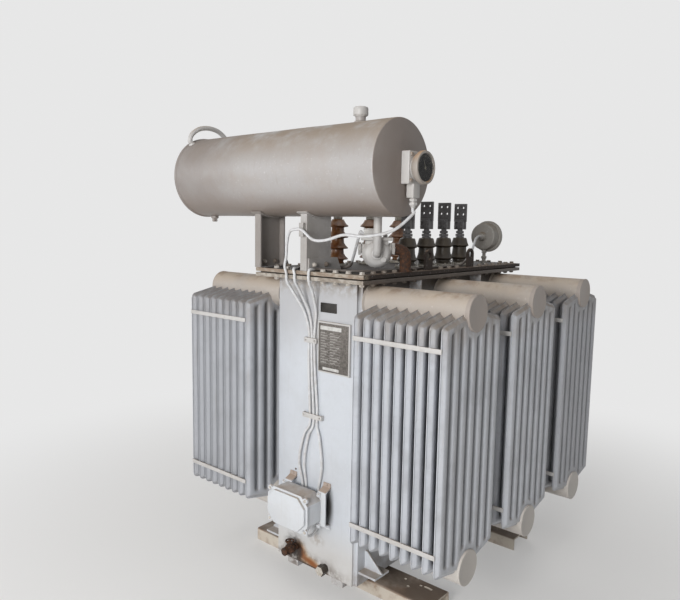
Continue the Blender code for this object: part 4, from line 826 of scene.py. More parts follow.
def make_gauge():
    """Flange, neck, terminal stub and gland, then the dial case with its ring, face and glass."""
    x = DRUM_RIGHT + SEAT
    out, down = (1, 0, 0), (0, 0, -1)
    gland = Vector((x + 0.027, GAUGE_Y, DRUM_Z - 0.137))
    shape = bmesh.new()
    add_box(shape, (x, GAUGE_Y - 0.065, DRUM_Z - 0.075), (x + 0.045, GAUGE_Y + 0.065, DRUM_Z + 0.075), 0.004)
    add_turned(shape, [(0.043, 0.057), (0.048, 0.056), (0.0497, 0.054)], (x, GAUGE_Y, DRUM_Z), out)
    add_box(shape, (x + 0.006, GAUGE_Y - 0.027, gland.z), (x + 0.046, GAUGE_Y + 0.027, DRUM_Z - 0.016), 0.004)
    for rings in ([(-0.001, 0.0135), (0.004, 0.0135)], [(0.014, 0.0125), (0.022, 0.0125)],
                  [(0.032, 0.0135), (0.04, 0.0125), (0.0455, 0.0095)]):
        add_turned(shape, rings, gland, down, 32)
    for start, end, corner in ((0.004, 0.016, 0.0195), (0.02, 0.034, 0.0205)):
        add_nut(shape, start, end, corner, corner * 0.93, gland, down, 0.3, 0.0015)
    piece("gauge_flange", shape, GAUGE_ENAMEL, "tank_paint", "level_gauge")
    bolts = bmesh.new()
    for dy in (-0.05, 0.05):
        for dz in (-0.06, 0.06):
            add_bolt(bolts, (x + 0.045, GAUGE_Y + dy, DRUM_Z + dz), out, 0.01, dy * 9)
    piece("gauge_bolts", bolts, CASE_ENAMEL, "tank_paint")
    dial = Vector((x + 0.05, GAUGE_Y, DRUM_Z))
    turned_piece("gauge_case", [
        (0, 0.058), (0.002, 0.0605), (0.01, 0.067), (0.018, 0.069), (0.022, 0.0745), (0.025, 0.077),
        (0.041, 0.077), (0.0445, 0.0755), (0.0455, 0.073), (0.0455, 0.067), (0.044, 0.0655),
        (0.037, 0.064), (0.0365, 0)], dial, out, 72, CASE_ENAMEL, "dark_plastic", "gauge_dial")
    turned_piece("gauge_face", [(0.0362, 0.063), (0.0372, 0.063), (0.0373, 0)], dial, out, 72,
                 DIAL_BLACK, "dark_plastic")
    marks = bmesh.new()
    for k in range(11):
        turned = Matrix.Translation(dial) @ Matrix.Rotation(math.radians(-60 + 12 * k), 4, "X")
        long = 0.011 if k % 5 == 0 else 0.007
        add_box(marks, (0.0372, -0.001, 0.057 - long), (0.0379, 0.001, 0.057), 0.0002, turned)
    turned = Matrix.Translation(dial) @ Matrix.Rotation(math.radians(22), 4, "X")
    add_box(marks, (0.0385, -0.0016, -0.014), (0.0395, 0.0016, 0.043), 0.0004, turned)
    add_turned(marks, [(0.0365, 0.006), (0.0405, 0.006), (0.0412, 0.004)], dial, out, 24)
    piece("gauge_marks", marks, DIM_PRINT, "dark_plastic")
    turned_piece("gauge_glass", [(0.0415, 0.0648), (0.0435, 0.0648)], dial, out, 48, GLASS, "dark_plastic")


make_gauge()


# Gas relay and its pipes

def relay_spot(aside, ahead, up=0.0):
    """A point beside, in front of or above the relay's centre; aside and ahead turn with it."""
    cos, sin = math.cos(RELAY_TURN), math.sin(RELAY_TURN)
    return RELAY + Vector((aside * cos + ahead * sin, aside * sin - ahead * cos, up))


def make_relay():
    """The drum-shaped body with its ribs, lid, unions and small terminal box, and the two pipes."""
    placed = Matrix.Translation(RELAY) @ Matrix.Rotation(RELAY_TURN, 4, "Z")
    shape = bmesh.new()
    profile = [(-0.05, 0), (-0.05, 0.054), (-0.047, 0.06), (-0.03, 0.0735), (-0.024, 0.076), (0.024, 0.076),
               (0.03, 0.0735), (0.047, 0.06), (0.05, 0.054), (0.05, 0)]
    add_turned(shape, profile, (0, 0, 0), (0, 1, 0), 64)
    add_turned(shape, [(0.044, 0.034), (0.054, 0.034), (0.057, 0.031)], (0, 0, 0), (0, -1, 0), 40)
    add_turned(shape, [(0.04, 0.014), (0.052, 0.014), (0.0535, 0.012)], (0.036, 0, -0.032), (0, -1, 0), 24)
    add_box(shape, (-0.08, -0.06, 0.0646), (0.08, 0.06, 0.0806), 0.003)
    add_box(shape, (-0.058, -0.045, 0.04), (0.058, 0.045, 0.066), 0.006)
    for side in (-1, 1):
        middle, way = (0, 0, 0.021), (side, 0, 0)
        add_turned(shape, [(0.05, 0.027), (0.063, 0.025), (0.066, 0.0235), (0.09, 0.0235)], middle, way, 36)
        for start, end in ((0.062, 0.076), (0.079, 0.095)):
            add_nut(shape, start, end, 0.034, 0.031, middle, way, 0.35)
    add_box(shape, (-0.0675, -0.025, 0.078), (-0.0125, 0.025, 0.1226), 0.004)
    add_box(shape, (-0.0695, -0.027, 0.1196), (-0.0105, 0.027, 0.1256), 0.002)
    add_turned(shape, [(0.08, 0.012), (0.092, 0.012), (0.093, 0.009), (0.108, 0.009), (0.109, 0.006)],
               (0.045, 0.015, 0), (0, 0, 1), 24)
    piece("relay_casting", shape, FITTING_ENAMEL, "tank_paint", "relay_body", placed=placed)
    bolts = bmesh.new()
    for x in (-0.07, 0, 0.07):
        for y in (-0.05, 0.05):
            add_bolt(bolts, (x, y, 0.0806), (0, 0, 1), 0.008, x * 7)
    for x in (-0.062, -0.018):
        for y in (-0.02, 0.02):
            add_turned(bolts, [(0.1256, 0.0035), (0.128, 0.0035), (0.1286, 0.0028)], (x, y, 0), (0, 0, 1), 12)
    piece("relay_bolts", bolts, BOLT_PAINT, "tank_paint", placed=placed)
    ahead, aside = relay_spot(0, 1) - RELAY, relay_spot(1, 0) - RELAY
    feed = relay_spot(0, 0.085)
    # The feed pipe goes up into the drum's underside
    shell = DRUM_Z - math.sqrt((DRUM_RADIUS - 0.0005) ** 2 - (feed.y - DRUM_Y) ** 2)
    points = [(feed.x, feed.y, shell - 0.021), (feed.x, feed.y, RELAY.z + 0.1),
              (feed.x, feed.y, RELAY.z + 0.05), relay_spot(0, 0.079, 0.012)]
    points += stub(relay_spot(0, 0.0503), ahead, 0.018)[::-1]
    pipe = bmesh.new()
    add_tube(pipe, smooth_route(points, 5), 0.021, 28)
    # Its weld at the drum, and its collar at the relay
    add_turned(pipe, [(-0.004, 0.026), (0.006, 0.024), (0.012, 0.0212)], (feed.x, feed.y, shell - 0.02),
               (0, 0, -1), 28)
    add_turned(pipe, [(0, 0.026), (0.008, 0.026), (0.01, 0.0212)], relay_spot(0, 0.051), ahead, 28)
    piece("relay_feed", pipe, FITTING_ENAMEL, "tank_paint", "relay_feed_pipe", angle=50)
    foot = relay_spot(0.1503, 0, COVER_TOP + SEAT - RELAY.z)
    points = stub(relay_spot(0.0953, 0, 0.021), aside, 0.012)
    points += [relay_spot(0.1383, 0, 0.009), relay_spot(0.1503, 0, -0.019)]
    points += stub(foot, (0, 0, 1), 0.02)[::-1]
    pipe = bmesh.new()
    add_tube(pipe, smooth_route(points, 5), 0.03, 28)
    add_turned(pipe, [(0, 0.0345), (0.006, 0.0345), (0.009, 0.033), (0.014, 0.0305)], foot, sides=32)
    piece("relay_outlet", pipe, RUST, "rusted_steel", "relay_outlet_pipe", angle=50)


make_relay()


# Bushings

def porcelain(sheds, core, lip, height):
    """The outline of a porcelain: rounded sheds with a drip edge, over a flared foot."""
    profile = [(0.014, core + 0.012), (0.02, core + 0.006), (0.026, core)]
    step = (height - 0.02) / sheds
    for k in range(sheds):
        low = 0.02 + k * step
        profile += [(low + step * 0.22, core), (low + step * 0.26, core + 0.004),
                    (low + step * 0.3, lip - 0.004), (low + step * 0.33, lip - 0.001),
                    (low + step * 0.38, lip), (low + step * 0.46, lip - 0.003),
                    (low + step * 0.62, core + (lip - core) * 0.45), (low + step * 0.85, core + 0.002)]
    return profile + [(height - 0.006, core), (height - 0.002, core - 0.002), (height, core - 0.008)]


def add_flange(shape, x, y):
    """A bushing's clamping flange on the cover, with its four bolts."""
    base = COVER_TOP + SEAT
    add_turned(shape, [(0, 0.066), (0.001, 0.068), (0.012, 0.068), (0.014, 0.066), (0.014, 0.052),
                       (0.018, 0.048)], (x, y, base))
    for k in range(4):
        angle = math.radians(45 + 90 * k)
        spot = (x + 0.059 * math.cos(angle), y + 0.059 * math.sin(angle), base + 0.014)
        add_bolt(shape, spot, (0, 0, 1), 0.008, angle)


def make_bushings():
    """Four low-voltage bushings with flat palms, and three high-voltage ones with studs."""
    base, up = COVER_TOP + SEAT, (0, 0, 1)
    for k in range(4):
        y = LV_FIRST + k * LV_PITCH
        turned_piece(f"lv_porcelain_{k + 1}", porcelain(2, 0.042, 0.056, 0.17), (LV_X, y, base), up, 56,
                     OLIVE_GLAZE, "lv_porcelain", f"lv_bushing_{k + 1}")
        ring = bmesh.new()
        add_flange(ring, LV_X, y)
        piece(f"lv_flange_{k + 1}", ring, ZINC, "bare_metal")
        make_palm(k + 1, y, base + 0.17 + SEAT)
    for k in range(3):
        y = HV_FIRST + k * HV_PITCH
        turned_piece(f"hv_porcelain_{k + 1}", porcelain(4, 0.036, 0.062, 0.27), (HV_X, y, base), up, 56,
                     BROWN_GLAZE, "hv_porcelain", f"hv_bushing_{k + 1}")
        metal = bmesh.new()
        add_flange(metal, HV_X, y)
        top = (HV_X, y, base + 0.27 + SEAT)
        add_turned(metal, [(0, 0.024), (0.002, 0.026), (0.04, 0.026), (0.048, 0.02), (0.05, 0.012)], top,
                   sides=36)
        add_turned(metal, [(0.048, 0.008), (0.095, 0.008)], top, sides=24)
        for start in (0.05, 0.064):
            add_nut(metal, start, start + 0.012, 0.014, 0.0125, top, turn=start)
        piece(f"hv_cap_{k + 1}", metal, ZINC, "bare_metal", f"hv_terminal_{k + 1}")


def make_palm(number, y, low):
    """A stud with its nuts, the split clamp with its four bolts, and the drilled palm."""
    shape = bmesh.new()
    add_turned(shape, [(0, 0.026), (0.006, 0.026), (0.007, 0.016), (0.06, 0.016)], (LV_X, y, low), sides=36)
    for start in (0.008, 0.026):
        add_nut(shape, start, start + 0.015, 0.0275, 0.025, (LV_X, y, low), turn=start * 20)
    for near, far in ((-0.025, -0.0015), (0.0015, 0.025)):
        add_box(shape, (LV_X - 0.03, y + near, low + 0.05), (LV_X + 0.03, y + far, low + 0.11), 0.003)
    for z in (0.065, 0.094):
        for x in (-0.017, 0.017):
            add_bolt(shape, (LV_X + x, y - 0.025, low + z), (0, -1, 0), 0.01, z * 8)
    piece(f"lv_clamp_{number}", shape, TARNISH, "bare_metal", f"lv_terminal_{number}")
    palm, holes = bmesh.new(), bmesh.new()
    add_box(palm, (LV_X - 0.0425, y - 0.006, low + 0.098), (LV_X + 0.0425, y + 0.006, low + 0.208))
    for x in (-0.02, 0.02):
        for z in (0.143, 0.183):
            add_turned(holes, [(-0.02, 0.0075), (0.02, 0.0075)], (LV_X + x, y, low + z), (0, 1, 0), 24)
    cut_with(piece(f"lv_palm_{number}", palm, TARNISH, "bare_metal"), holes)


def cut_with(made, holes):
    """Takes the shape of holes out of a piece for good."""
    bmesh.ops.recalc_face_normals(holes, faces=holes.faces)
    holes.transform(Matrix.Translation(HERE))
    cutter = place_object("holes", mesh_from("holes", holes))
    cut = made.modifiers.new("holes", "BOOLEAN")
    cut.operation = "DIFFERENCE"
    cut.solver = "EXACT"
    cut.object = cutter
    bpy.context.view_layer.update()
    graph = bpy.context.evaluated_depsgraph_get()
    done = bpy.data.meshes.new_from_object(made.evaluated_get(graph))
    made.modifiers.clear()
    made.data = done
    bpy.data.objects.remove(cutter)
    done.shade_smooth()
    done.set_sharp_from_angle(angle=math.radians(35))


make_bushings()


# Thermometer

def make_thermometer():
    """The dial thermometer, seen from its back, on its pocket."""
    middle, ahead = THERMOMETER, (0, 1, 0)
    turned_piece("thermometer_housing", [
        (-0.082, 0.017), (-0.081, 0.02), (-0.074, 0.0235), (-0.066, 0.0295), (-0.0605, 0.03),
        (-0.06, 0.036), (-0.0602, 0.074), (-0.059, 0.08), (-0.055, 0.084), (-0.004, 0.084),
        (-0.001, 0.086), (0, 0.097), (0.003, 0.1), (0.018, 0.1), (0.021, 0.098), (0.022, 0.094),
        (0.022, 0.088), (0.014, 0.086), (0.0135, 0)],
        middle, ahead, 72, DULL_ENAMEL, "tank_paint", "thermometer_case")
    turned_piece("thermometer_face", [(0.0132, 0.0855), (0.0145, 0.0855), (0.0146, 0)], middle, ahead, 72,
                 DIAL_FACE, "dark_plastic")
    marks = bmesh.new()
    for k in range(25):
        turned = Matrix.Translation(middle) @ Matrix.Rotation(math.radians(-120 + 10 * k), 4, "Y")
        long = 0.012 if k % 4 == 0 else 0.007
        add_box(marks, (-0.0008, 0.0146, 0.076 - long), (0.0008, 0.0152, 0.076), 0.0002, turned)
    turned = Matrix.Translation(middle) @ Matrix.Rotation(math.radians(-70), 4, "Y")
    add_box(marks, (-0.0018, 0.0158, -0.018), (0.0018, 0.0168, 0.062), 0.0004, turned)
    add_turned(marks, [(0.014, 0.007), (0.0175, 0.007), (0.0182, 0.005)], middle, ahead, 24)
    piece("thermometer_marks", marks, DIAL_PRINT, "dark_plastic")
    turned_piece("thermometer_glass", [(0.019, 0.0885), (0.021, 0.0885)], middle, ahead, 48, GLASS,
                 "dark_plastic")
    pocket = bmesh.new()
    foot = (middle.x, middle.y - 0.03, COVER_TOP + SEAT)
    add_turned(pocket, [(0, 0.0245), (0.001, 0.0255), (0.018, 0.0255), (0.02, 0.0235)], foot, (0, 0, 1), 6,
               0.2)
    add_turned(pocket, [(0.018, 0.0125), (0.034, 0.0125), (0.035, 0.011), (0.094, 0.011)], foot, sides=32)
    for start, end, corner in ((0.034, 0.05, 0.0185), (0.07, 0.084, 0.017)):
        add_nut(pocket, start, end, corner, corner * 0.93, foot, turn=start * 9)
    piece("thermometer_stem", pocket, DULL_ENAMEL, "tank_paint", "thermometer_pocket")


make_thermometer()


# Cables and clamps

def cable_routes():
    """Each cable's points, the same as in the solids."""
    over = -COVER_Y - CABLE_RADIUS - CABLE_LIFT
    round_edge = CABLE_RADIUS * 0.9
    deck = COVER_TOP + CABLE_RADIUS + CABLE_LIFT
    off = FRONT - CABLE_RADIUS - CABLE_LIFT
    upper_z, lower_z = CLAMP_UPPER.z, CLAMP_LOWER.z
    depth, low = (BOX_FRONT + BOX_BACK) / 2, BOX_LOW

    def descent(start_x, order, box_x, spread):
        """From the cover's edge down behind both clamps and the box, and up into a gland."""
        upper, lower = CLAMP_UPPER.x + order * 0.02, CLAMP_LOWER.x + order * 0.026
        route = [(start_x, over, COVER_LOW), (start_x + 0.004, over, WALL_TOP - 0.01),
                 (start_x * 0.9 + upper * 0.1, over * 0.6 + off * 0.4, WALL_TOP - 0.06),
                 (start_x * 0.4 + upper * 0.6, off - 0.004, WALL_TOP - 0.17), (upper, off, upper_z + 0.05),
                 (upper, off, upper_z - 0.05), ((upper + lower) / 2, off - 0.003, (upper_z + lower_z) / 2),
                 (lower, off, lower_z + 0.05), (lower, off, lower_z - 0.05),
                 (lower + spread * 0.55, off - 0.003, lower_z * 0.7 + BOX_TOP * 0.3),
                 (lower + spread, off - 0.004, lower_z * 0.32 + BOX_TOP * 0.68),
                 (box_x, off, BOX_TOP - 0.01), (box_x, off, low + 0.04), (box_x, off - 0.008, low - 0.02),
                 (box_x, off - 0.04, low - 0.05), (box_x, depth + 0.008, low - 0.047)]
        return route + stub((box_x, depth, low - SEAT), (0, 0, -1))[::-1]

    clip_x = -0.0185
    clip_y = DRUM_Y - 0.0925 - 0.02 - CABLE_RADIUS - CABLE_LIFT
    clip_z = COVER_TOP + 0.21
    gland = (DRUM_RIGHT + 0.0273, GAUGE_Y, DRUM_Z - 0.1823)
    gauge = [(0.49, FRONT - 0.01, COVER_TOP + 0.215), (0.38, FRONT - 0.075, COVER_TOP + 0.185),
             (0.27, FRONT - 0.1, COVER_TOP + 0.19), (0.16, FRONT - 0.11, COVER_TOP + 0.162),
             (0.08, FRONT - 0.115, COVER_TOP + 0.162), (clip_x + 0.02, clip_y, clip_z - 0.004),
             (clip_x - 0.02, clip_y, clip_z + 0.002), (-0.1, clip_y + 0.01, clip_z - 0.012),
             (-0.14, clip_y + 0.03, clip_z - 0.07), (-0.145, clip_y + 0.03, COVER_TOP + 0.07),
             (-0.14, over - 0.002, COVER_TOP + 0.02)]
    box = relay_spot(-0.0678, 0, 0.1)
    relay = [(0.09, FRONT + 0.19, COVER_TOP + 0.07), (0.03, FRONT + 0.225, deck + 0.004),
             (-0.06, FRONT + 0.2, deck), (-0.1, FRONT + 0.1, deck), (-0.095, FRONT - 0.01, deck),
             (-0.083, over + 0.03, deck), (-0.078, -COVER_Y - round_edge, COVER_TOP + round_edge)]
    dial = THERMOMETER - Vector((0, 0.0823, 0))
    lead = [(0.262, dial.y - 0.08, COVER_TOP + 0.165), (0.288, dial.y - 0.15, COVER_TOP + 0.135),
            (0.308, dial.y - 0.22, COVER_TOP + 0.085), (0.312, dial.y - 0.3, COVER_TOP + 0.03),
            (0.311, dial.y - 0.38, deck), (0.31, -0.1, deck), (0.31, -0.35, deck),
            (0.305, FRONT + 0.16, deck), (0.26, FRONT + 0.04, deck), (0.16, FRONT - 0.01, deck),
            (0.06, FRONT - 0.025, deck), (0.035, over + 0.03, deck),
            (0.034, -COVER_Y - round_edge, COVER_TOP + round_edge)]
    aside = relay_spot(-1, 0) - RELAY
    return {
        "gauge_cable": [*stub(gland, (0, 0, -1)), *gauge, *descent(-0.13, -1, GLANDS[0], -0.072)],
        "relay_cable": [*stub(box, aside, 0.02), *relay, *descent(-0.07, 0, GLANDS[1], -0.06)],
        "thermometer_cable": [*stub(dial, (0, -1, 0)), *lead, *descent(0.03, 1, GLANDS[2], 0.042)],
    }


def make_cables():
    """The three sheathed cables, then the straps that hold them, with their bolts."""
    for name, route in cable_routes().items():
        shape = bmesh.new()
        add_tube(shape, smooth_route(route, 7), CABLE_RADIUS, 14)
        piece(name.replace("cable", "lead"), shape, SHEATH, "cable_sheath", name, angle=60)
    near = FRONT - 2 * CABLE_RADIUS - 2 * CABLE_LIFT
    for name, middle, width in (("upper", CLAMP_UPPER, 0.088), ("lower", CLAMP_LOWER, 0.138)):
        left, right = middle.x - width / 2, middle.x + width / 2
        wall, thick = FRONT - SEAT, 0.006
        outline = [(left, near - thick), (right, near - thick), (right, wall), (right - thick, wall),
                   (right - thick, near), (left + thick, near), (left + thick, wall), (left, wall)]
        strap = bmesh.new()
        add_prism(strap, outline, 2, middle.z - 0.013, middle.z + 0.013, 0.0015)
        for x in (left + 0.012, right - 0.012):
            add_bolt(strap, (x, near - thick, middle.z), (0, -1, 0), 0.006, x * 9, 0.004)
        piece(f"cable_strap_{name}", strap, FITTING_ENAMEL, "bare_metal", f"cable_clamp_{name}")


make_cables()


# Junction box

def box_outline(grow, cut):
    """The box's front outline, grown on every side, with its corners cut off."""
    left, right, low, high = BOX_LEFT - grow, BOX_RIGHT + grow, BOX_LOW - grow, BOX_TOP + grow
    return [(left + cut, low), (right - cut, low), (right, low + cut), (right, high - cut),
            (right - cut, high), (left + cut, high), (left, high - cut), (left, low + cut)]


def box_corners(inset):
    """The places this far in from the box's four corners."""
    left, right, low, high = BOX_LEFT + inset, BOX_RIGHT - inset, BOX_LOW + inset, BOX_TOP - inset
    return (left, high), (right, high), (right, low), (left, low)


def make_junction_box():
    """The cast box and its raised lid with four screw ears, on two bent straps."""
    out = (0, -1, 0)
    shape = bmesh.new()
    add_prism(shape, box_outline(0, 0.043), 1, BOX_FRONT, BOX_BACK, 0.003)
    # Ears at the back corners, screwed to the straps
    ear = 0.013
    for x, z in box_corners(ear):
        add_box(shape, (x - ear, BOX_BACK - 0.0085, z - ear), (x + ear, BOX_BACK - 0.0025, z + ear), 0.0025)
        add_turned(shape, [(0, 0.0105), (0.003, 0.0105), (0.0065, 0.008), (0.0075, 0.004)],
                   (x, BOX_BACK - 0.0082, z), out, 24)
    # Glands that the cables come up into
    for x in GLANDS:
        gland = (x, (BOX_FRONT + BOX_BACK) / 2, BOX_LOW)
        add_turned(shape, [(-0.001, 0.0125), (0.007, 0.0125), (0.008, 0.0112)], gland, (0, 0, -1), 6)
        add_turned(shape, [(0.008, 0.0108), (0.014, 0.0104), (0.018, 0.0082)], gland, (0, 0, -1), 24)
    piece("junction_casting", shape, LID_ENAMEL, "tank_paint", "junction_box")
    straps = bmesh.new()
    wall, thick, plate = FRONT - SEAT, 0.006, BOX_BACK - 0.002
    knee_low, knee_high = BOX_LOW + 0.014, BOX_TOP + 0.008
    end_low, end_high = BOX_LOW + 0.006, BOX_TOP + 0.023
    outline = [(wall - thick, end_high + 0.022), (wall - thick, end_high), (plate, knee_high),
               (plate, knee_low), (wall - thick, end_low), (wall - thick, end_low - 0.022),
               (wall, end_low - 0.022), (wall, end_low + thick), (plate + thick, knee_low + thick),
               (plate + thick, knee_high - thick), (wall, end_high - thick), (wall, end_high + 0.022)]
    for edge in (-0.127, 0.123):
        add_prism(straps, outline, 0, edge - 0.05, edge, 0.0022)
        for z in (end_high + 0.012, end_low - 0.012):
            add_turned(straps, [(-0.001, 0.008), (0.003, 0.0075), (0.005, 0.004)],
                       (edge - 0.025, wall - thick, z), out, 20)
    piece("junction_straps", straps, STRAP_ENAMEL, "tank_paint")
    lid, screws = bmesh.new(), bmesh.new()
    front = BOX_FRONT - SEAT
    add_prism(lid, box_outline(0.005, 0.046), 1, front - 0.011, front, 0.0025)
    add_prism(lid, box_outline(-0.006, 0.05), 1, front - 0.026, front - 0.009, 0.006)
    for x, z in box_corners(0.012):
        add_turned(lid, [(0, 0.0155), (0.0095, 0.0155), (0.011, 0.0145)], (x, front, z), out, 32)
        add_turned(screws, [(0.0105, 0.0085), (0.0135, 0.0085), (0.0155, 0.007), (0.0165, 0.0035)],
                   (x, front, z), out, 24)
    piece("junction_cover", lid, LID_ENAMEL, "tank_paint", "junction_lid")
    piece("junction_screws", screws, BOLT_PAINT, "tank_paint")


make_junction_box()


# Rating plate, small plate and drain

def make_plates():
    """The rating plate on its frame, and the small plate above it; both are bare of words."""
    wall, out = FRONT - SEAT, (0, -1, 0)
    face = wall - 0.0175
    left, right, top, low = 0.037, 0.237, 1.4893, 1.2373
    edging = bmesh.new()
    add_box(edging, (left - 0.008, wall - 0.014, low - 0.008), (right + 0.008, wall, top + 0.008))
    piece("plate_frame", edging, FITTING_ENAMEL, "tank_paint", "rating_plate_frame")
    plate = bmesh.new()
    add_box(plate, (left, face, low), (right, wall - 0.014 - SEAT, top), 0.0008)
    for x in (left + 0.01, right - 0.01):
        for z in (low + 0.01, top - 0.01):
            add_turned(plate, [(-0.001, 0.004), (0.001, 0.0038), (0.002, 0.002)], (x, face, z), out, 16)
    piece("plate_sheet", plate, PLATE_METAL, "bare_metal", "rating_plate")
    # Ruled lines and filled fields of no meaning stand for the engraving
    rows, proud = bmesh.new(), face - SEAT
    for k in range(12):
        z = top - 0.055 - 0.014 * k
        add_box(rows, (left + 0.012, proud, z), (right - 0.05, face, z + 0.0012), 0.0001)
        for start, long in ((0.014, 0.03 + 0.011 * ((k * 5) % 3)), (0.078, 0.025 + 0.013 * ((k * 7) % 4))):
            x = left + start
            add_box(rows, (x, proud, z + 0.0045), (x + long, face, z + 0.008), 0.0001)
    piece("plate_rows", rows, PALE_FILL, "bare_metal")
    bars = bmesh.new()
    add_box(bars, (left + 0.012, face - 0.0004, top - 0.034), (right - 0.045, face, top - 0.014), 0.0001)
    add_box(bars, (left + 0.03, face - 0.0004, low + 0.008), (right - 0.06, face, low + 0.022), 0.0001)
    piece("plate_bars", bars, WHITE_FILL, "bare_metal")
    turned_piece("wall_screw_stub", [(0, 0.0055), (0.0015, 0.005), (0.002, 0.003)], (-0.138, wall, 0.647),
                 out, 20, RUST, "rusted_steel")
    small = bmesh.new()
    add_box(small, (0.034, wall - 0.003, 1.5433), (0.144, wall, 1.5933), 0.0006)
    piece("small_plate_sheet", small, DARK_PLASTIC, "dark_plastic", "small_plate")


def make_drain():
    """The rusted valve with its handwheel, and the hexagon plug."""
    spot, out = Vector((-0.13, FRONT, TANK_Z + 0.085)), (0, -1, 0)
    shape = bmesh.new()
    add_turned(shape, [(SEAT, 0.0165), (0.03, 0.0165)], spot, out, 32)
    add_turned(shape, [(0.026, 0.02), (0.03, 0.0245), (0.035, 0.0275), (0.068, 0.0275), (0.074, 0.0235),
                       (0.077, 0.0165), (0.1, 0.0165)], spot, out, 8, 0.2)
    add_nut(shape, 0.006, 0.02, 0.0225, 0.02, spot, out, 0.2)
    # The hose thread round the outlet, 4 mm a turn
    for k in range(5):
        start = 0.0775 + 0.0043 * k
        add_turned(shape, [(start, 0.0175), (start + 0.0013, 0.0222), (start + 0.0021, 0.0222),
                           (start + 0.0034, 0.0175)], spot, out, 28)
    stem = spot + Vector((0, -0.0525, 0))
    add_turned(shape, [(0.02, 0.0185), (0.03, 0.0185), (0.031, 0.012), (0.048, 0.009), (0.053, 0.007)],
               stem, (0, 0, 1), 6, 0.5)
    wheel = stem + Vector((0, 0, 0.048))
    rim = [wheel + Vector((0.022 * math.cos(math.pi * k / 12), 0.022 * math.sin(math.pi * k / 12), 0))
           for k in range(25)]
    add_tube(shape, rim, 0.0042, 12)
    for k in range(3):
        angle = 2 * math.pi * k / 3
        add_tube(shape, [wheel, wheel + Vector((0.021 * math.cos(angle), 0.021 * math.sin(angle), 0))],
                 0.0032, 10)
    piece("drain_cock", shape, RUST, "rusted_steel", "drain_valve")
    plug = bmesh.new()
    spot = (0.09, FRONT, TANK_Z + 0.036)
    add_turned(plug, [(SEAT, 0.0224), (0.018, 0.0224)], spot, out, 32)
    add_turned(plug, [(0.0175, 0.0282), (0.02, 0.0302), (0.047, 0.0302), (0.05, 0.0277)], spot, out, 6, 0.5)
    piece("drain_plug_head", plug, PLUG_PAINT, "rusted_steel", "drain_plug")


make_plates()
make_drain()


# Base channels
CHANNEL_Y, CHANNEL_HALF, CHANNEL_TOP, CHANNEL_WALL, CHANNEL_REACH = 0.485, 0.1, 0.075, 0.01, 0.64


def make_channel(name, end):
    """A rolled channel, web up, with its rounded outer edges and the bolt holes near both ends."""
    y, half, wall, top = end * CHANNEL_Y, CHANNEL_HALF, CHANNEL_WALL, CHANNEL_TOP
    turns = [math.radians(15 * k) for k in range(7)]
    # Its rounded outer edge, as (in from the side, down from the top)
    edge = [(0.01 * (1 - math.cos(turn)), 0.01 * (1 - math.sin(turn))) for turn in turns]
    outline = [(y - half, 0), (y - half + 0.007, 0), (y - half + wall, top - wall),
               (y + half - wall, top - wall), (y + half - 0.007, 0), (y + half, 0)]
    outline += [(y + half - inward, top - down) for inward, down in edge]
    outline += [(y - half + inward, top - down) for inward, down in reversed(edge)]
    shape, holes = bmesh.new(), bmesh.new()
    add_prism(shape, outline, 0, -CHANNEL_REACH, CHANNEL_REACH)
    for side in (-1, 1):
        for x, off in ((0.401, 0.042), (0.45, 0.091), (0.452, -0.008), (0.5, 0.042)):
            add_turned(holes, [(top - 0.02, 0.0085), (top + 0.01, 0.0085)], (side * x, y + off, 0), sides=24)
        slot = []
        for way in (1, -1):
            for turn in [math.pi * k / 8 for k in range(9)]:
                slot.append((side * 0.543 + way * (0.017 + 0.009 * math.sin(turn)),
                             y + 0.047 + way * 0.009 * math.cos(turn)))
        add_prism(holes, slot, 2, top - 0.02, top + 0.01)
    made = piece(name.replace("base", "rolled"), shape, BASE_PAINT, "rusty_base_paint", name, angle=25)
    cut_with(made, holes)


make_channel("base_channel_front", -1)
make_channel("base_channel_back", 1)


# Cover bolts: their thread, how far in from the edge they stand, and the gaps across and along
BOLT_THREAD, BOLT_INSET, GAPS_ACROSS, GAPS_ALONG = 0.016, 0.04, 8, 18
# Lifting lugs along the cover, and how far the bolts stay from each
LUG_Y, LUG_CLEAR = 0.228, 0.055
# Where the supports' feet stand across the cover
FEET_ACROSS = ((-0.4, -0.315), (-0.1, 0.035))
# Bolts through the feet: the face they stand on, their height and their places along
FEET_BOLTS = ((0.014, 1.7875, (-0.79, -0.698)), (-0.378, 1.7865, (-0.774, -0.695)))


def cover_bolt_places():
    """Where the cover's bolts stand: a row along each edge, left out at the lugs and the feet."""
    half_x, half_y = COVER_X - BOLT_INSET, COVER_Y - BOLT_INSET
    places = []
    for k in range(GAPS_ACROSS + 1):
        x = -half_x + 2 * half_x * k / GAPS_ACROSS
        for end in (-1, 1):
            if end > 0 or not any(left < x < right for left, right in FEET_ACROSS):
                places.append((x, end * half_y))
    for k in range(1, GAPS_ALONG):
        y = -half_y + 2 * half_y * k / GAPS_ALONG
        for side in (-1, 1):
            if abs(abs(y) - LUG_Y) > LUG_CLEAR:
                places.append((side * half_x, y))
    return places


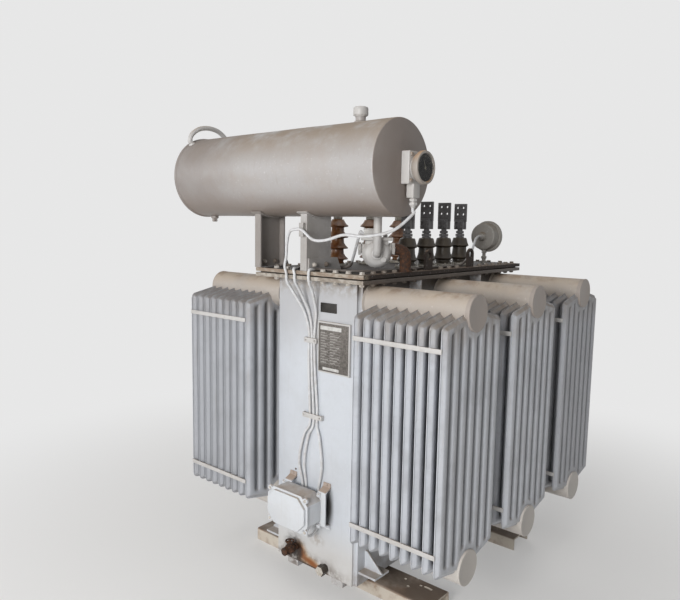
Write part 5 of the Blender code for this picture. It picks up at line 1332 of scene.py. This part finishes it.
def make_cover_bolts():
    """Hexagon heads on the cover and nuts under the rim."""
    heads, nuts = bmesh.new(), bmesh.new()
    for k, (x, y) in enumerate(cover_bolt_places()):
        add_bolt(heads, (x, y, COVER_TOP), (0, 0, 1), BOLT_THREAD, 0.7 * k)
        add_bolt(nuts, (x, y, WALL_TOP), (0, 0, -1), BOLT_THREAD, 1.1 * k, 0.002)
    piece("cover_bolt_heads", heads, BOLT_PAINT, "dirty_cover_paint")
    piece("cover_bolt_nuts", nuts, BOLT_PAINT, "dirty_cover_paint")
    feet = bmesh.new()
    for x, z, ys in FEET_BOLTS:
        for y in ys:
            add_bolt(feet, (x, y, z), (1, 0, 0), 0.014, y, 0.004)
    piece("support_foot_bolts", feet, BOLT_PAINT, "tank_paint")


make_cover_bolts()


# Solids that keep their own shape, with softened edges and a finish
KEPT_LOOKS = {"tank": (WALL_ENAMEL, 0.002), "gasket": (RUBBER, 0.0015), "cover": (COVER_PAINT, 0.0015)}
KEPT_LOOKS |= {f"lifting_lug_{k}": (COVER_PAINT, 0.001) for k in (1, 2, 3, 4)}
KEPT_LOOKS |= {f"support_{word}": (SUPPORT_ENAMEL, 0.001) for word in ("left", "right")}
for NAME, (LOOK, EDGE) in KEPT_LOOKS.items():
    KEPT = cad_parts[NAME]
    KEPT.data.materials.clear()
    KEPT.data.materials.append(LOOK)
    WELD = KEPT.modifiers.new("one_skin", "WELD")
    WELD.merge_threshold = 0.00005
    SOFT = KEPT.modifiers.new("soft_edges", "BEVEL")
    SOFT.width = EDGE
    SOFT.segments = 2
    SOFT.limit_method = "ANGLE"
    SOFT.angle_limit = math.radians(40)


# Floor, light and background: the backdrop's level, and where the floor starts and ends its fade
# into it, in metres from the middle, from the least share
BACKDROP, FADE_START, FADE_END, FADE_LEAST = 0.8, 1.0, 4.2, 0.35


def seen_directly(tree):
    """1 for the rays that show the background: to the camera, in gloss and through glass."""
    path = node(tree, "LightPath")
    shown = path.outputs["Is Camera Ray"]
    for word in ("Is Glossy Ray", "Is Transmission Ray"):
        shown = node(tree, "Math", {0: shown, 1: path.outputs[word]}, operation="MAXIMUM").outputs[0]
    return shown


def make_floor():
    """A plain pale floor that fades into the backdrop with distance."""
    shape = bmesh.new()
    bmesh.ops.create_grid(shape, x_segments=1, y_segments=1, size=60.0)
    floor = place_object("floor", mesh_from("floor", shape))
    floor.location = (0, 0, -0.0005)
    look = bpy.data.materials.new("plain_pale_floor")
    look.use_nodes = True
    tree = look.node_tree
    tree.nodes.remove(tree.nodes["Principled BSDF"])
    matt = node(tree, "BsdfDiffuse", {"Color": linear("#EDEBE8")})
    glow = node(tree, "Emission", {"Color": (1, 1, 1, 1), "Strength": BACKDROP})
    away = node(tree, "VectorMath", {0: node(tree, "TexCoord").outputs["Object"]}, operation="LENGTH")
    far = node(tree, "MapRange", {0: away.outputs["Value"], 1: FADE_START, 2: FADE_END, 3: FADE_LEAST},
               interpolation_type="SMOOTHSTEP").outputs[0]
    share = product(tree, far, seen_directly(tree))
    mixed = node(tree, "MixShader", {0: share, 1: matt.outputs[0], 2: glow.outputs[0]})
    tree.links.new(mixed.outputs[0], tree.nodes["Material Output"].inputs["Surface"])
    floor.data.materials.append(look)


# Each lamp's place, the side of its square and its power in watts
LAMPS = {"key": ((1.75, -7.2, 2.7), 2.6, 350), "side": ((-4.4, -5.2, 3.2), 3.0, 60),
         "top": ((0.0, -1.0, 7.0), 5.0, 75), "back": ((-5.0, 6.0, 2.8), 4.5, 190)}
LAMPS_AIM = Vector((0, 0, 1.1))
SURROUND = 0.2


def make_lights():
    """A broad soft key low in front, weaker lights from the left, above and behind, and a dim surround."""
    world = bpy.data.worlds.new("studio")
    bpy.context.scene.world = world
    world.use_nodes = True
    tree = world.node_tree
    strength = node(tree, "MapRange", {0: seen_directly(tree), 3: SURROUND, 4: BACKDROP}).outputs[0]
    tree.links.new(strength, tree.nodes["Background"].inputs["Strength"])
    tree.nodes["Background"].inputs["Color"].default_value = (1, 1, 1, 1)
    for name, (spot, size, power) in LAMPS.items():
        lamp = place_object(name, bpy.data.lights.new(name, "AREA"))
        lamp.data.shape = "SQUARE"
        lamp.data.size = size
        lamp.data.energy = power
        lamp.location = spot
        lamp.rotation_euler = (LAMPS_AIM - Vector(spot)).to_track_quat("-Z", "Y").to_euler()


make_floor()
make_lights()
bpy.context.scene.view_settings.view_transform = "Standard"
